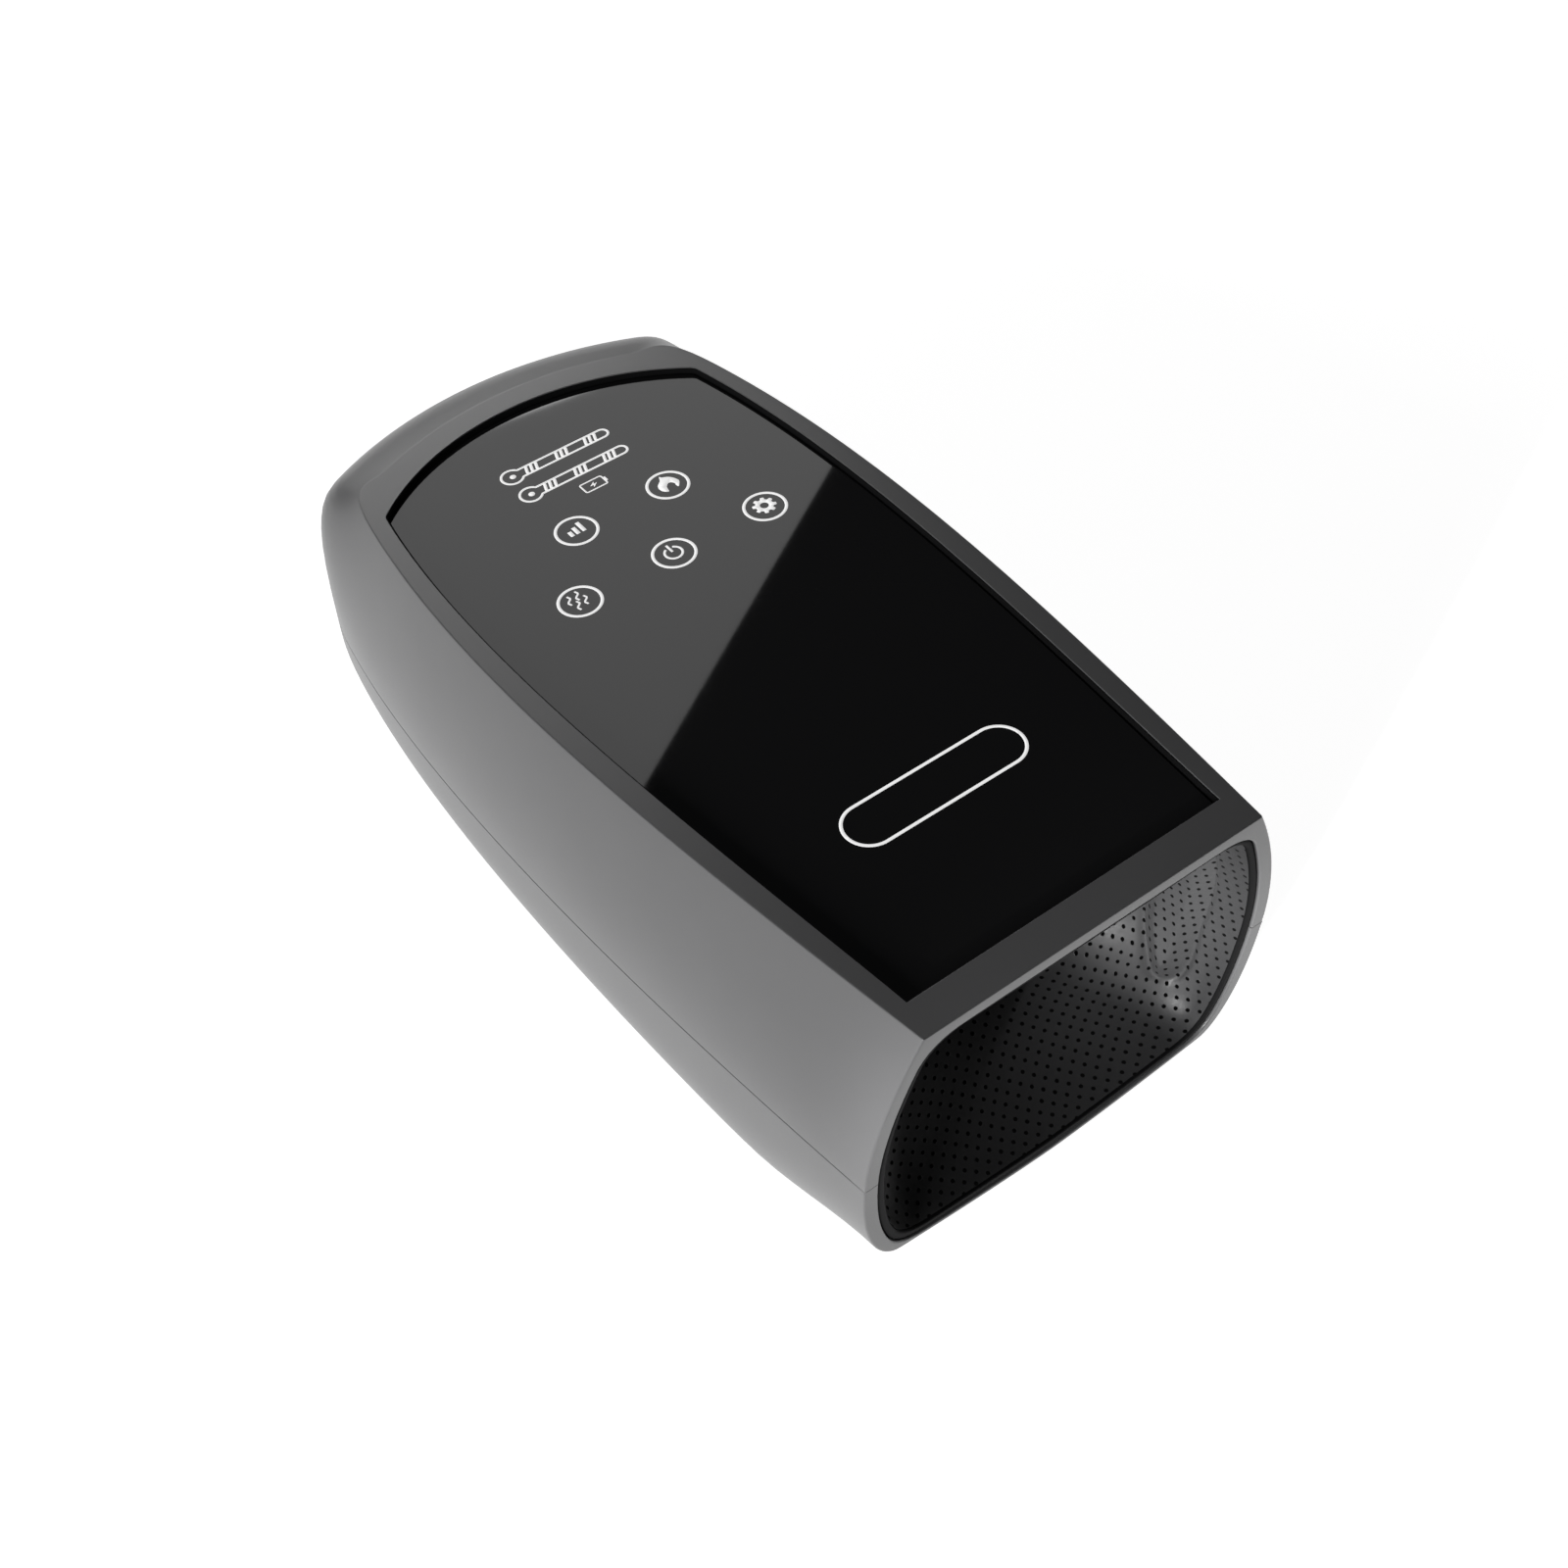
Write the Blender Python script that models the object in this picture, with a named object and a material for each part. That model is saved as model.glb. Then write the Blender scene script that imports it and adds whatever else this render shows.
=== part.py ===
"""Hand massager: a two-part moulded housing round an air-cushioned hand cavity.

Metres, +Z up. The origin lies on the floor below the middle of the housing, and the hand
goes in at the front, which faces -Y. The rear of the housing holds the battery, the air
pump, its valves and the control board.
"""

import math

import bmesh
import bpy
import numpy as np
from mathutils import Matrix, Vector

# Overall size
OVERALL_LENGTH = 0.299
OVERALL_WIDTH = 0.160
OVERALL_HEIGHT = 0.119
CLEARANCE = 0.0003
CUT_OVERRUN = 0.004

# Housing form
REAR_TOP_DROP_SHARE = 0.3235
SEAM_FRONT_SHARE = 0.5067
SEAM_REAR_DROP_SHARE = 0.2513
UNDERSIDE_HEIGHT = 0.0052
FRONT_LIP_RISE = 0.0089
FRONT_LIP_RUN = 0.045
FRONT_LIP_SAG = 0.0074
LIP_SAG_POWER = 1.5
LIP_CELLS = 6
WALL = 0.0026
FLOOR_WALL = 0.0026
SIDE_ROUNDING_POWER = 1.9
REAR_ROUNDING_POWER = 16.0
FRONT_TUCK_POWER = 2.2
BODY_TUCK_POWER = 4.0
TUCK_RUN = 0.060

# Plan outlines: shares of the half width and of the length, from the front edge backwards
CREASE_SHARES = {
    "front": (0.675, 0.0),
    "fore_handle": (0.8075, 0.284),
    "aft_handle": (0.941, 0.577),
    "corner": (0.781, 0.828),
    "arc": (0.55, 0.903),
    "rear": 0.9348,
}
BELT_SHARES = {
    "front": (0.860, 0.0),
    "fore_handle": (0.981, 0.2676),
    "aft_handle": (1.081, 0.617),
    "corner": (0.9375, 0.851),
    "arc": (0.725, 0.9515),
    "rear": 1.0,
}
BASE_SHARES = {
    "front": (0.6875, 0.0),
    "fore_handle": (0.79, 0.25),
    "aft_handle": (0.885, 0.6),
    "corner": (0.745, 0.80),
    "arc": (0.56, 0.893),
    "rear": 0.945,
}
CORNER_HANDLE_SHARE = 0.42
SIDE_STEPS = 9
CORNER_STEPS = 4
ARC_STEPS = 4
UPPER_ROW_SHARES = (0.0, 0.025, 0.07, 0.15, 0.27, 0.43, 0.62, 0.81, 1.0)
LOWER_ROW_SHARES = (0.0, 0.35, 0.58, 0.75, 0.88, 0.96, 1.0)
INNER_ROW_STEPS = 2

# Front rim and hand opening
RIM_DEPTH = 0.0026
RIM_TOP = 0.0072
RIM_SIDE = 0.0058
RIM_BOTTOM = 0.0035
OPENING_CORNER_RADIUS = 0.013

# Touch panel in its recess
PANEL_FRONT_SETBACK = 0.0118
PANEL_REAR_SETBACK = 0.029
PANEL_FRONT_WIDTH_SHARE = 0.61125
PANEL_REAR_WIDTH_SHARE = 0.69125
PANEL_ARC_RISE = 0.0205
PANEL_FORE_HANDLE_SHARES = (1.145, 0.318)
PANEL_AFT_HANDLE_SHARES = (1.22, 0.705)
PANEL_SIDE_STEPS = 9
PANEL_ARC_STEPS = 7
PANEL_GAP = 0.0009
PANEL_SINK = 0.0022
PANEL_THICKNESS = 0.002
TAPE_THICKNESS = 0.0005
TAPE_WIDTH = 0.006
RECESS_FLOOR = 0.002
WINDOW_WIDTH_SHARE = 0.5
WINDOW_LENGTH = 0.0835
WINDOW_REAR_SETBACK = 0.052
BOARD_THICKNESS = 0.0016
BOARD_MARGIN = 0.004

# Hand cavity: its section at two depths in shares of the housing, and what lies behind it
REAR_BAY_LENGTH = 0.0905
CAVITY_FORE_SETBACK = 0.0445
CAVITY_AFT_MARGIN = 0.019
FORE_WIDTH_SHARE = 0.5875
FORE_HEIGHT_SHARE = 0.2269
FORE_MIDDLE_SHARE = 0.4706
AFT_WIDTH_SHARE = 0.5375
AFT_HEIGHT_SHARE = 0.1555
AFT_MIDDLE_SHARE = 0.4076
FRONT_MIDDLE_SHARE = 0.5252
CAVITY_POWER = 2.6
CAVITY_DOME = 0.022

# Layers round the cavity, from the inside out
LINER_THICKNESS = 0.002
HEATER_THICKNESS = 0.001
BAG_THICKNESS = 0.0072
BAG_EDGE_THICKNESS = 0.0022
TRAY_THICKNESS = 0.002
SIDE_PAD_HEIGHT = 0.0050
SIDE_PAD_SETBACK = 0.0515
SIDE_PAD_HALF_LENGTH = 0.030
SIDE_PAD_HALF_ANGLE = math.radians(30)
SIDE_PAD_LIFT = math.radians(14)
FRAME_WIDTH = 0.0022
FRAME_LENGTH = 0.008
FRAME_SETBACK = 0.0005
LUG_REACH = 0.0019
LUG_THICKNESS = 0.002
LUG_HEIGHT = 0.022
TRAY_SETBACK = 0.0395
TRAY_MARGIN = 0.007
BAG_SETBACK = 0.0455
BAG_MARGIN = 0.017
HEATER_SETBACK = 0.0555
HEATER_MARGIN = 0.039
THROAT_STEPS = 3
LAYER_STEPS = 4
SLEEVE_CELLS = 32
MOUTH_STEPS = 60
CORNER_CROWDING = 0.5
HEATER_CELLS = 3
TOP_BAG_CELLS = 4
SIDE_BAG_CELLS = 3

# Screws, bosses, posts and feet
SCREW_RADIUS = 0.00145
SCREW_HEAD_RADIUS = 0.0029
SCREW_HEAD_HEIGHT = 0.0018
SCREW_GRIP = 0.0085
SCREW_BITE = 0.009
BOSS_WALL = 0.0016
BOSS_STEPS = 14
SCREW_SHARES = ((0.715, 0.694), (0.5875, 0.848))
HALVING_STEPS = 40
TONGUE_INSET = 0.0014
TONGUE_RISE = 0.0014
TONGUE_ROOT = 0.0008
TONGUE_SETBACK = 0.016
POST_RADIUS = 0.003
POST_SETBACK = 0.0515
POST_MARGIN = 0.023
FOOT_RADIUS = 0.007
FOOT_RECESS = 0.001
FOOT_WIDTH_SHARE = 0.56
FOOT_STATION_SHARES = (0.21, 0.80)
FOOT_STEPS = 18
SCREW_STEPS = 10
EDGE_SEGMENTS = 2
EDGE_ROUNDNESS = 0.5

# Rear bay: battery, pump, valves and boards
CELL_RADIUS = 0.0091
CELL_LENGTH_SHARE = 0.40625
CELL_GAP = 0.001
HOLDER_WALL = 0.0014
BAY_GAP = 0.0045
PUMP_RADIUS = 0.0122
PUMP_HEAD_RADIUS = 0.0135
PUMP_MOTOR_LENGTH_SHARE = 0.19375
PUMP_HEAD_LENGTH_SHARE = 0.15
PUMP_HEAD_WALL = 0.0018
PUMP_PORT_RADIUS = 0.0022
PUMP_PORT_LENGTH = 0.005
SHAFT_RADIUS = 0.001
RUNNING_CLEARANCE = 0.0001
ECCENTRIC_RADIUS = 0.0055
ECCENTRIC_OFFSET = 0.002
ECCENTRIC_LENGTH = 0.007
SHAFT_TAIL = 0.002
CRADLE_WALL = 0.002
CRADLE_HEIGHT_SHARE = 0.45
CRADLE_LENGTH = 0.024
VALVE_WIDTH = 0.013
VALVE_DEPTH = 0.012
VALVE_HEIGHT = 0.017
VALVE_PITCH_SHARE = 0.103125
VALVE_COUNT = 3
PLUNGER_RADIUS = 0.0025
PLUNGER_TRAVEL = 0.0015
PLUNGER_CAP_RADIUS = 0.0038
PLUNGER_CAP_HEIGHT = 0.0012
PLUNGER_DEPTH = 0.012
PLUNGER_STEPS = 16
MANIFOLD_HEIGHT = 0.006
CONTROL_BOARD_WIDTH = 0.060
CONTROL_BOARD_HEIGHT = 0.042
CONTROL_BOARD_SETBACK = 0.0165
SOCKET_WIDTH = 0.009
SOCKET_HEIGHT = 0.009
SOCKET_NOSE_RADIUS = 0.0042
SOCKET_BORE_RADIUS = 0.0031
SOCKET_BORE_DEPTH = 0.008
SOCKET_RISE = 0.020
SLOT_WIDTH = 0.006
SLOT_DEPTH = 0.004
SLOT_PLACE_SHARE = 0.35
HOSE_RADIUS = 0.0022
HOSE_GAP = 0.0026
HOSE_BEVEL_RESOLUTION = 2
HOSE_BEND_STEPS = 3

# Vibration motor on the side of the lower tray
VIBRATOR_RADIUS = 0.005
VIBRATOR_LENGTH = 0.018
VIBRATOR_PLACE_SHARE = 0.5
VIBRATOR_ANGLE = math.radians(-14)
WEIGHT_RADIUS = 0.0042
WEIGHT_LENGTH = 0.005
CLIP_WALL = 0.0012
CLIP_LENGTH = 0.010

ROUND_STEPS = 20
SMOOTH_ANGLE = math.radians(32)

# Colour, roughness and metallic value of each material
FINISHES = {
    "housing_plastic": ((0.16, 0.16, 0.16), 0.45, 0.0),
    "panel_gloss": ((0.012, 0.012, 0.012), 0.08, 0.0),
    "dark_plastic": ((0.02, 0.02, 0.02), 0.5, 0.0),
    "inner_plastic": ((0.55, 0.55, 0.53), 0.5, 0.0),
    "liner_leather": ((0.02, 0.02, 0.02), 0.55, 0.0),
    "bag_film": ((0.25, 0.27, 0.30), 0.4, 0.0),
    "heater_film": ((0.45, 0.22, 0.06), 0.45, 0.0),
    "rubber": ((0.03, 0.03, 0.03), 0.8, 0.0),
    "steel": ((0.6, 0.6, 0.6), 0.3, 1.0),
    "board_green": ((0.02, 0.16, 0.07), 0.45, 0.0),
    "cell_sleeve": ((0.05, 0.15, 0.5), 0.4, 0.0),
    "guide_white": ((0.8, 0.8, 0.8), 0.5, 0.0),
    "hose_silicone": ((0.7, 0.7, 0.7), 0.35, 0.0),
    "brass": ((0.7, 0.5, 0.2), 0.35, 1.0),
}

HALF_LENGTH = OVERALL_LENGTH / 2
HALF_WIDTH = OVERALL_WIDTH / 2
FRONT_Y = -HALF_LENGTH
REAR_TOP_DROP = OVERALL_HEIGHT * REAR_TOP_DROP_SHARE
SEAM_FRONT_HEIGHT = OVERALL_HEIGHT * SEAM_FRONT_SHARE
SEAM_REAR_DROP = OVERALL_HEIGHT * SEAM_REAR_DROP_SHARE
PANEL_FRONT_HALF_WIDTH = HALF_WIDTH * PANEL_FRONT_WIDTH_SHARE
PANEL_REAR_HALF_WIDTH = HALF_WIDTH * PANEL_REAR_WIDTH_SHARE
CAVITY_END = HALF_LENGTH - REAR_BAY_LENGTH
CAVITY_FORE = FRONT_Y + CAVITY_FORE_SETBACK
CAVITY_AFT = CAVITY_END - CAVITY_AFT_MARGIN
FORE_HALF_WIDTH = HALF_WIDTH * FORE_WIDTH_SHARE
FORE_HALF_HEIGHT = OVERALL_HEIGHT * FORE_HEIGHT_SHARE
FORE_MIDDLE = OVERALL_HEIGHT * FORE_MIDDLE_SHARE
AFT_HALF_WIDTH = HALF_WIDTH * AFT_WIDTH_SHARE
AFT_HALF_HEIGHT = OVERALL_HEIGHT * AFT_HEIGHT_SHARE
AFT_MIDDLE = OVERALL_HEIGHT * AFT_MIDDLE_SHARE
FRONT_MIDDLE = OVERALL_HEIGHT * FRONT_MIDDLE_SHARE
SIDE_PAD_Y = FRONT_Y + SIDE_PAD_SETBACK
TRAY_FRONT = FRONT_Y + TRAY_SETBACK
TRAY_REAR = CAVITY_END - TRAY_MARGIN
BAG_FRONT = FRONT_Y + BAG_SETBACK
BAG_REAR = CAVITY_END - BAG_MARGIN
HEATER_FRONT = FRONT_Y + HEATER_SETBACK
HEATER_REAR = CAVITY_END - HEATER_MARGIN
POST_FRONT = FRONT_Y + POST_SETBACK
POST_REAR = CAVITY_END - POST_MARGIN
CELL_LENGTH = OVERALL_WIDTH * CELL_LENGTH_SHARE
PUMP_MOTOR_LENGTH = OVERALL_WIDTH * PUMP_MOTOR_LENGTH_SHARE
PUMP_HEAD_LENGTH = OVERALL_WIDTH * PUMP_HEAD_LENGTH_SHARE
VALVE_PITCH = OVERALL_WIDTH * VALVE_PITCH_SHARE
DECK_DEPTH = (PANEL_SINK + PANEL_THICKNESS + CLEARANCE + TAPE_THICKNESS + CLEARANCE
              + RECESS_FLOOR)
RECESS_DEPTH = DECK_DEPTH - RECESS_FLOOR


def clear_scene():
    """Remove every object of the open scene."""
    for item in list(bpy.data.objects):
        bpy.data.objects.remove(item)


def finish_material(name):
    """Return the named Principled material, made on first use."""
    material = bpy.data.materials.get(name)
    if material is None:
        material = bpy.data.materials.new(name)
        material.use_nodes = True
        colour, roughness, metallic = FINISHES[name]
        shader = material.node_tree.nodes["Principled BSDF"]
        shader.inputs["Base Color"].default_value = (*colour, 1.0)
        shader.inputs["Roughness"].default_value = roughness
        shader.inputs["Metallic"].default_value = metallic
        material.diffuse_color = (*colour, 1.0)
    return material


def object_from_bmesh(name, mesh_data, finish):
    """Turn a bmesh into a scene object with outward faces and smooth shading."""
    bmesh.ops.remove_doubles(mesh_data, verts=mesh_data.verts, dist=CLEARANCE / 100)
    bmesh.ops.recalc_face_normals(mesh_data, faces=mesh_data.faces)
    mesh = bpy.data.meshes.new(name)
    mesh_data.to_mesh(mesh)
    mesh_data.free()
    mesh.shade_smooth()
    mesh.set_sharp_from_angle(angle=SMOOTH_ANGLE)
    item = bpy.data.objects.new(name, mesh)
    bpy.context.scene.collection.objects.link(item)
    mesh.materials.append(finish_material(finish))
    return item


def as_cutter(item):
    """Mark an object as a cutter that is not part of the model."""
    item.hide_render = True
    item.display_type = "WIRE"
    return item


def combine(target, tool, operation):
    """Add one Boolean step to an object."""
    modifier = target.modifiers.new(f"{operation.lower()}_{tool.name}", "BOOLEAN")
    modifier.operation = operation
    modifier.solver = "EXACT"
    modifier.object = tool
    as_cutter(tool)


def cut(target, *tools):
    """Subtract each tool from the target."""
    for tool in tools:
        combine(target, tool, "DIFFERENCE")


def join(target, *tools):
    """Unite each tool with the target."""
    for tool in tools:
        combine(target, tool, "UNION")


def gather(name):
    """Parent every object of the scene to one empty on the floor."""
    root = bpy.data.objects.new(name, None)
    for item in bpy.context.scene.objects:
        item.parent = root
    bpy.context.scene.collection.objects.link(root)


def smooth_step(value):
    """Return the usual 0 to 1 ease of a value clamped to that range."""
    value = min(max(value, 0.0), 1.0)
    return value * value * (3 - 2 * value)


def mix(low, high, share):
    """Return the value a share of the way from low to high."""
    return low + (high - low) * share


def bezier(points, share):
    """Return the point of a cubic curve."""
    start, first, second, end = points
    rest = 1 - share
    return (start * rest ** 3 + first * (3 * rest * rest * share)
            + second * (3 * rest * share * share) + end * share ** 3)


# Housing surfaces

def top_height(y):
    """Height of the sloping top plane."""
    return OVERALL_HEIGHT - REAR_TOP_DROP * (y - FRONT_Y) / OVERALL_LENGTH


def seam_height(y):
    """Height of the parting plane between the shells."""
    return SEAM_FRONT_HEIGHT - SEAM_REAR_DROP * (y - FRONT_Y) / OVERALL_LENGTH


def underside_height(y):
    """Height of the underside, which rises to the front lip."""
    return UNDERSIDE_HEIGHT + FRONT_LIP_RISE * (1 - smooth_step((y - FRONT_Y) / FRONT_LIP_RUN))


def raw_outline(shares):
    """Half plan outline in shares, from the front edge to the middle of the rear."""
    front = Vector(shares["front"])
    corner = Vector(shares["corner"])
    aft = Vector(shares["aft_handle"])
    side = (front, Vector(shares["fore_handle"]), aft, corner)
    points = [bezier(side, step / SIDE_STEPS) for step in range(SIDE_STEPS)]
    aspect = OVERALL_LENGTH / HALF_WIDTH
    arc_x, arc_y = shares["arc"]
    sagitta = (shares["rear"] - arc_y) * aspect
    radius = (arc_x * arc_x + sagitta * sagitta) / (2 * sagitta)
    slope = -arc_x / (radius - sagitta)
    arc = Vector((arc_x, arc_y))
    reach = (corner - arc).length * CORNER_HANDLE_SHARE
    leave = (corner - aft).normalized() * reach
    arrive = Vector((1.0, slope / aspect)).normalized() * reach
    bend = (corner, corner + leave, arc + arrive, arc)
    points += [bezier(bend, step / CORNER_STEPS) for step in range(CORNER_STEPS)]
    for step in range(ARC_STEPS + 1):
        x = arc_x * (1 - step / ARC_STEPS)
        drop = (radius - math.sqrt(radius * radius - x * x)) / aspect
        points.append(Vector((x, shares["rear"] - drop)))
    return points


BELT_PEAK_SHARE = max(point.x for point in raw_outline(BELT_SHARES))


def outline(shares, inset=0.0):
    """Half plan outline in metres, moved inwards by inset."""
    points = [Vector((point.x * HALF_WIDTH / BELT_PEAK_SHARE,
                      FRONT_Y + point.y * OVERALL_LENGTH)) for point in raw_outline(shares)]
    moved = []
    last = len(points) - 1
    for index, point in enumerate(points):
        ahead = points[min(index + 1, last)]
        behind = points[max(index - 1, 0)]
        along = (ahead - behind).normalized()
        if index == last:
            along = Vector((-1.0, 0.0))
        moved.append(point - Vector((along.y, -along.x)) * inset)
    moved[0].y = points[0].y
    moved[-1].x = 0.0
    return moved


def column_blend(index):
    """How far a column of the outline has turned from the side to the rear."""
    return smooth_step((index - SIDE_STEPS + 1) / (CORNER_STEPS + 1))


LIP_REACH = BELT_SHARES["front"][0] * HALF_WIDTH / BELT_PEAK_SHARE


def lip_sag(x, y):
    """How far the front lip dips below its corners towards the middle."""
    across = min(abs(x) / LIP_REACH, 1.0)
    fade = 1 - smooth_step((y - FRONT_Y) / FRONT_LIP_RUN)
    return FRONT_LIP_SAG * fade * (1 - across ** LIP_SAG_POWER)


def mirrored(half):
    """Full row of points from the right front round the rear to the left front."""
    return half + [Vector((-point.x, point.y, point.z)) for point in reversed(half[:-1])]


def upper_rows(inset, depth, seam_drop, stride=1):
    """Rows of the upper skin, from the top edge down to the parting plane."""
    crease, belt = outline(CREASE_SHARES, inset), outline(BELT_SHARES, inset)
    rows = []
    for share in UPPER_ROW_SHARES[::stride]:
        half = []
        for index, (high, low) in enumerate(zip(crease, belt)):
            turn = column_blend(index)
            power = math.exp(mix(math.log(SIDE_ROUNDING_POWER),
                                 math.log(REAR_ROUNDING_POWER), turn))
            place = high.lerp(low, 1 - (1 - share) ** power)
            top = top_height(place.y) - depth
            seam = seam_height(place.y) - seam_drop
            half.append(Vector((place.x, place.y, mix(top, seam, share))))
        rows.append(mirrored(half))
    return rows


def lower_rows(inset, lift, seam_drop, stride=1):
    """Rows of the lower skin, from the parting plane down to the underside."""
    belt, base = outline(BELT_SHARES, inset), outline(BASE_SHARES, inset)
    rows = []
    for share in LOWER_ROW_SHARES[::stride]:
        half = []
        for high, low in zip(belt, base):
            power = mix(FRONT_TUCK_POWER, BODY_TUCK_POWER,
                        smooth_step((high.y - FRONT_Y) / TUCK_RUN))
            place = high.lerp(low, 1 - math.sqrt(1 - share ** power))
            bottom = underside_height(place.y) - lip_sag(place.x, place.y) + lift
            seam = seam_height(place.y) - seam_drop
            half.append(Vector((place.x, place.y, mix(seam, bottom, share))))
        rows.append(mirrored(half))
    return rows


def solid_from_rows(name, rows, finish, front_offset=0.0, lip_cells=1):
    """Close a stack of rows with a top, a front and a floor built in cross strips."""
    mesh_data = bmesh.new()
    grid = []
    for row in rows:
        line = []
        for index, point in enumerate(row):
            place = point.copy()
            if index in (0, len(row) - 1):
                place.y += front_offset
            line.append(mesh_data.verts.new(place))
        grid.append(line)
    count = len(rows[0])
    for above, below in zip(grid, grid[1:]):
        for index in range(count - 1):
            mesh_data.faces.new((above[index], above[index + 1], below[index + 1],
                                 below[index]))
    mesh_data.faces.new(grid[0])
    floor = grid[-1]
    middle = (count - 1) // 2
    strips = []
    for index in range(middle):
        before = floor[max(index - 1, 0)].co.y
        cells = lip_cells if before < FRONT_Y + FRONT_LIP_RUN else 1
        strips.append(floor_strip(mesh_data, floor[index], floor[count - 1 - index], cells))
    for low, high in zip(strips, strips[1:]):
        if len(low) == len(high):
            for step in range(len(low) - 1):
                mesh_data.faces.new((low[step], high[step], high[step + 1], low[step + 1]))
        else:
            mesh_data.faces.new([low[0]] + high + low[:0:-1])
    mesh_data.faces.new([strips[-1][0], floor[middle]] + strips[-1][:0:-1])
    mesh_data.faces.new([line[0] for line in grid] + strips[0][1:-1]
                        + [line[-1] for line in reversed(grid)])
    return object_from_bmesh(name, mesh_data, finish)


def floor_strip(mesh_data, right, left, cells):
    """Row of points across the floor that follows the front lip's dip."""
    inner = []
    for step in range(1, cells):
        x = mix(right.co.x, left.co.x, step / cells)
        dip = lip_sag(x, right.co.y) - lip_sag(right.co.x, right.co.y)
        inner.append(mesh_data.verts.new((x, right.co.y, right.co.z - dip)))
    return [right] + inner + [left]


# Basic solids

def slab(name, outline_points, low_at, high_at, finish):
    """Plan outline extruded between two height functions of y."""
    mesh_data = bmesh.new()
    base = mesh_data.faces.new([mesh_data.verts.new((point.x, point.y, low_at(point.y)))
                                for point in outline_points])
    raised = bmesh.ops.extrude_face_region(mesh_data, geom=[base])["geom"]
    for vertex in raised:
        if isinstance(vertex, bmesh.types.BMVert):
            vertex.co.z = high_at(vertex.co.y)
    return object_from_bmesh(name, mesh_data, finish)


def block(name, low, high, finish, bevel=0.0):
    """Box between two corners, with optional rounded edges."""
    mesh_data = bmesh.new()
    low, high = Vector(low), Vector(high)
    bmesh.ops.create_cube(mesh_data, size=1.0, matrix=Matrix.Diagonal((*(high - low), 1.0)))
    if bevel:
        bmesh.ops.bevel(mesh_data, geom=list(mesh_data.edges), offset=bevel,
                        segments=EDGE_SEGMENTS, affect="EDGES", profile=EDGE_ROUNDNESS)
    item = object_from_bmesh(name, mesh_data, finish)
    item.location = (low + high) / 2
    return item


def turned(name, profile, place, axis, finish, steps=ROUND_STEPS):
    """Spin a profile of (radius, along) points about an axis through place."""
    if profile[0] != profile[-1]:
        profile = ((0.0, profile[0][1]), *profile, (0.0, profile[-1][1]))
    mesh_data = bmesh.new()
    corners = [mesh_data.verts.new((radius, 0.0, along)) for radius, along in profile]
    edges = [mesh_data.edges.new(pair) for pair in zip(corners, corners[1:])]
    bmesh.ops.spin(mesh_data, geom=corners + edges, axis=(0.0, 0.0, 1.0),
                   angle=2 * math.pi, steps=steps, use_merge=True)
    item = object_from_bmesh(name, mesh_data, finish)
    item.location = place
    item.rotation_euler = Vector((0.0, 0.0, 1.0)).rotation_difference(Vector(axis)).to_euler()
    return item


def rod(name, radius, start, end, finish, steps=ROUND_STEPS):
    """Plain cylinder from one point to another."""
    along = Vector(end) - Vector(start)
    return turned(name, ((radius, 0.0), (radius, along.length)), start, along, finish, steps)


# Hand opening and the layers round the cavity

def front_section():
    """Outer outline of the front face as (x, z) points."""
    rows = upper_rows(0.0, 0.0, 0.0) + lower_rows(0.0, 0.0, 0.0)[1:]
    right = [np.array((row[0].x, row[0].z)) for row in rows]
    left = [np.array((-point[0], point[1])) for point in reversed(right)]
    base_x, base_z = right[-1]
    lip = [np.array((x, base_z + lip_sag(base_x, FRONT_Y) - lip_sag(x, FRONT_Y)))
           for x in base_x * (1 - 2 * np.arange(1, LIP_CELLS) / LIP_CELLS)]
    return right + lip + left


FRONT_SECTION = front_section()
SECTION_CENTRE = np.array((0.0, FRONT_MIDDLE))


def section_lines(rim_extra):
    """Outward normals and distances of the rim's inner edge lines."""
    normals = []
    distances = []
    count = len(FRONT_SECTION)
    for index in range(count):
        start = FRONT_SECTION[index]
        edge = FRONT_SECTION[(index + 1) % count] - start
        length = math.hypot(*edge)
        if length < CLEARANCE:
            continue
        normal = np.array((-edge[1], edge[0])) / length
        if normal @ (start - SECTION_CENTRE) < 0:
            normal = -normal
        across = abs(normal[0])
        rim_end = RIM_TOP if normal[1] > 0 else RIM_BOTTOM
        rim = mix(rim_end, RIM_SIDE, across)
        normals.append(normal)
        distances.append(normal @ (start - SECTION_CENTRE) - rim - rim_extra)
    return np.array(normals), np.array(distances)


def rounded_radii(angles, inset, radius):
    """Radius of the rim's inner outline at each angle, with its corners rounded."""
    normals, distances = section_lines(inset + radius)
    fine = np.linspace(0, 2 * math.pi, RAY_STEPS + 1)[:-1]
    rays = np.stack((np.cos(fine), np.sin(fine)), axis=1)
    core = rays * nearest_crossing(rays @ normals.T, distances)[:, None]
    support = (core @ rays.T).max(axis=0) + radius
    wanted = np.stack((np.cos(angles), np.sin(angles)), axis=1)
    return nearest_crossing(wanted @ rays.T, support)


def nearest_crossing(facing, distances):
    """Distance along each ray to the first line that it meets."""
    ahead = facing > LEAST_FACING
    return np.where(ahead, distances / np.maximum(facing, LEAST_FACING), np.inf).min(axis=1)


RAY_STEPS = 360
LEAST_FACING = 1e-6
TABLE_STEPS = 144
TABLE_ANGLES = np.linspace(0, 2 * math.pi, TABLE_STEPS + 1)
MOUTH_RADII = rounded_radii(TABLE_ANGLES, 0.0, OPENING_CORNER_RADIUS)


def mouth_radius(angle, inset):
    """Radius of the hand opening's outline, moved inwards by inset."""
    return float(np.interp(angle % (2 * math.pi), TABLE_ANGLES, MOUTH_RADII)) - inset


def depth_share(y):
    """Share of the way from the fore to the aft section of the cavity."""
    return (y - CAVITY_FORE) / (CAVITY_AFT - CAVITY_FORE)


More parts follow.
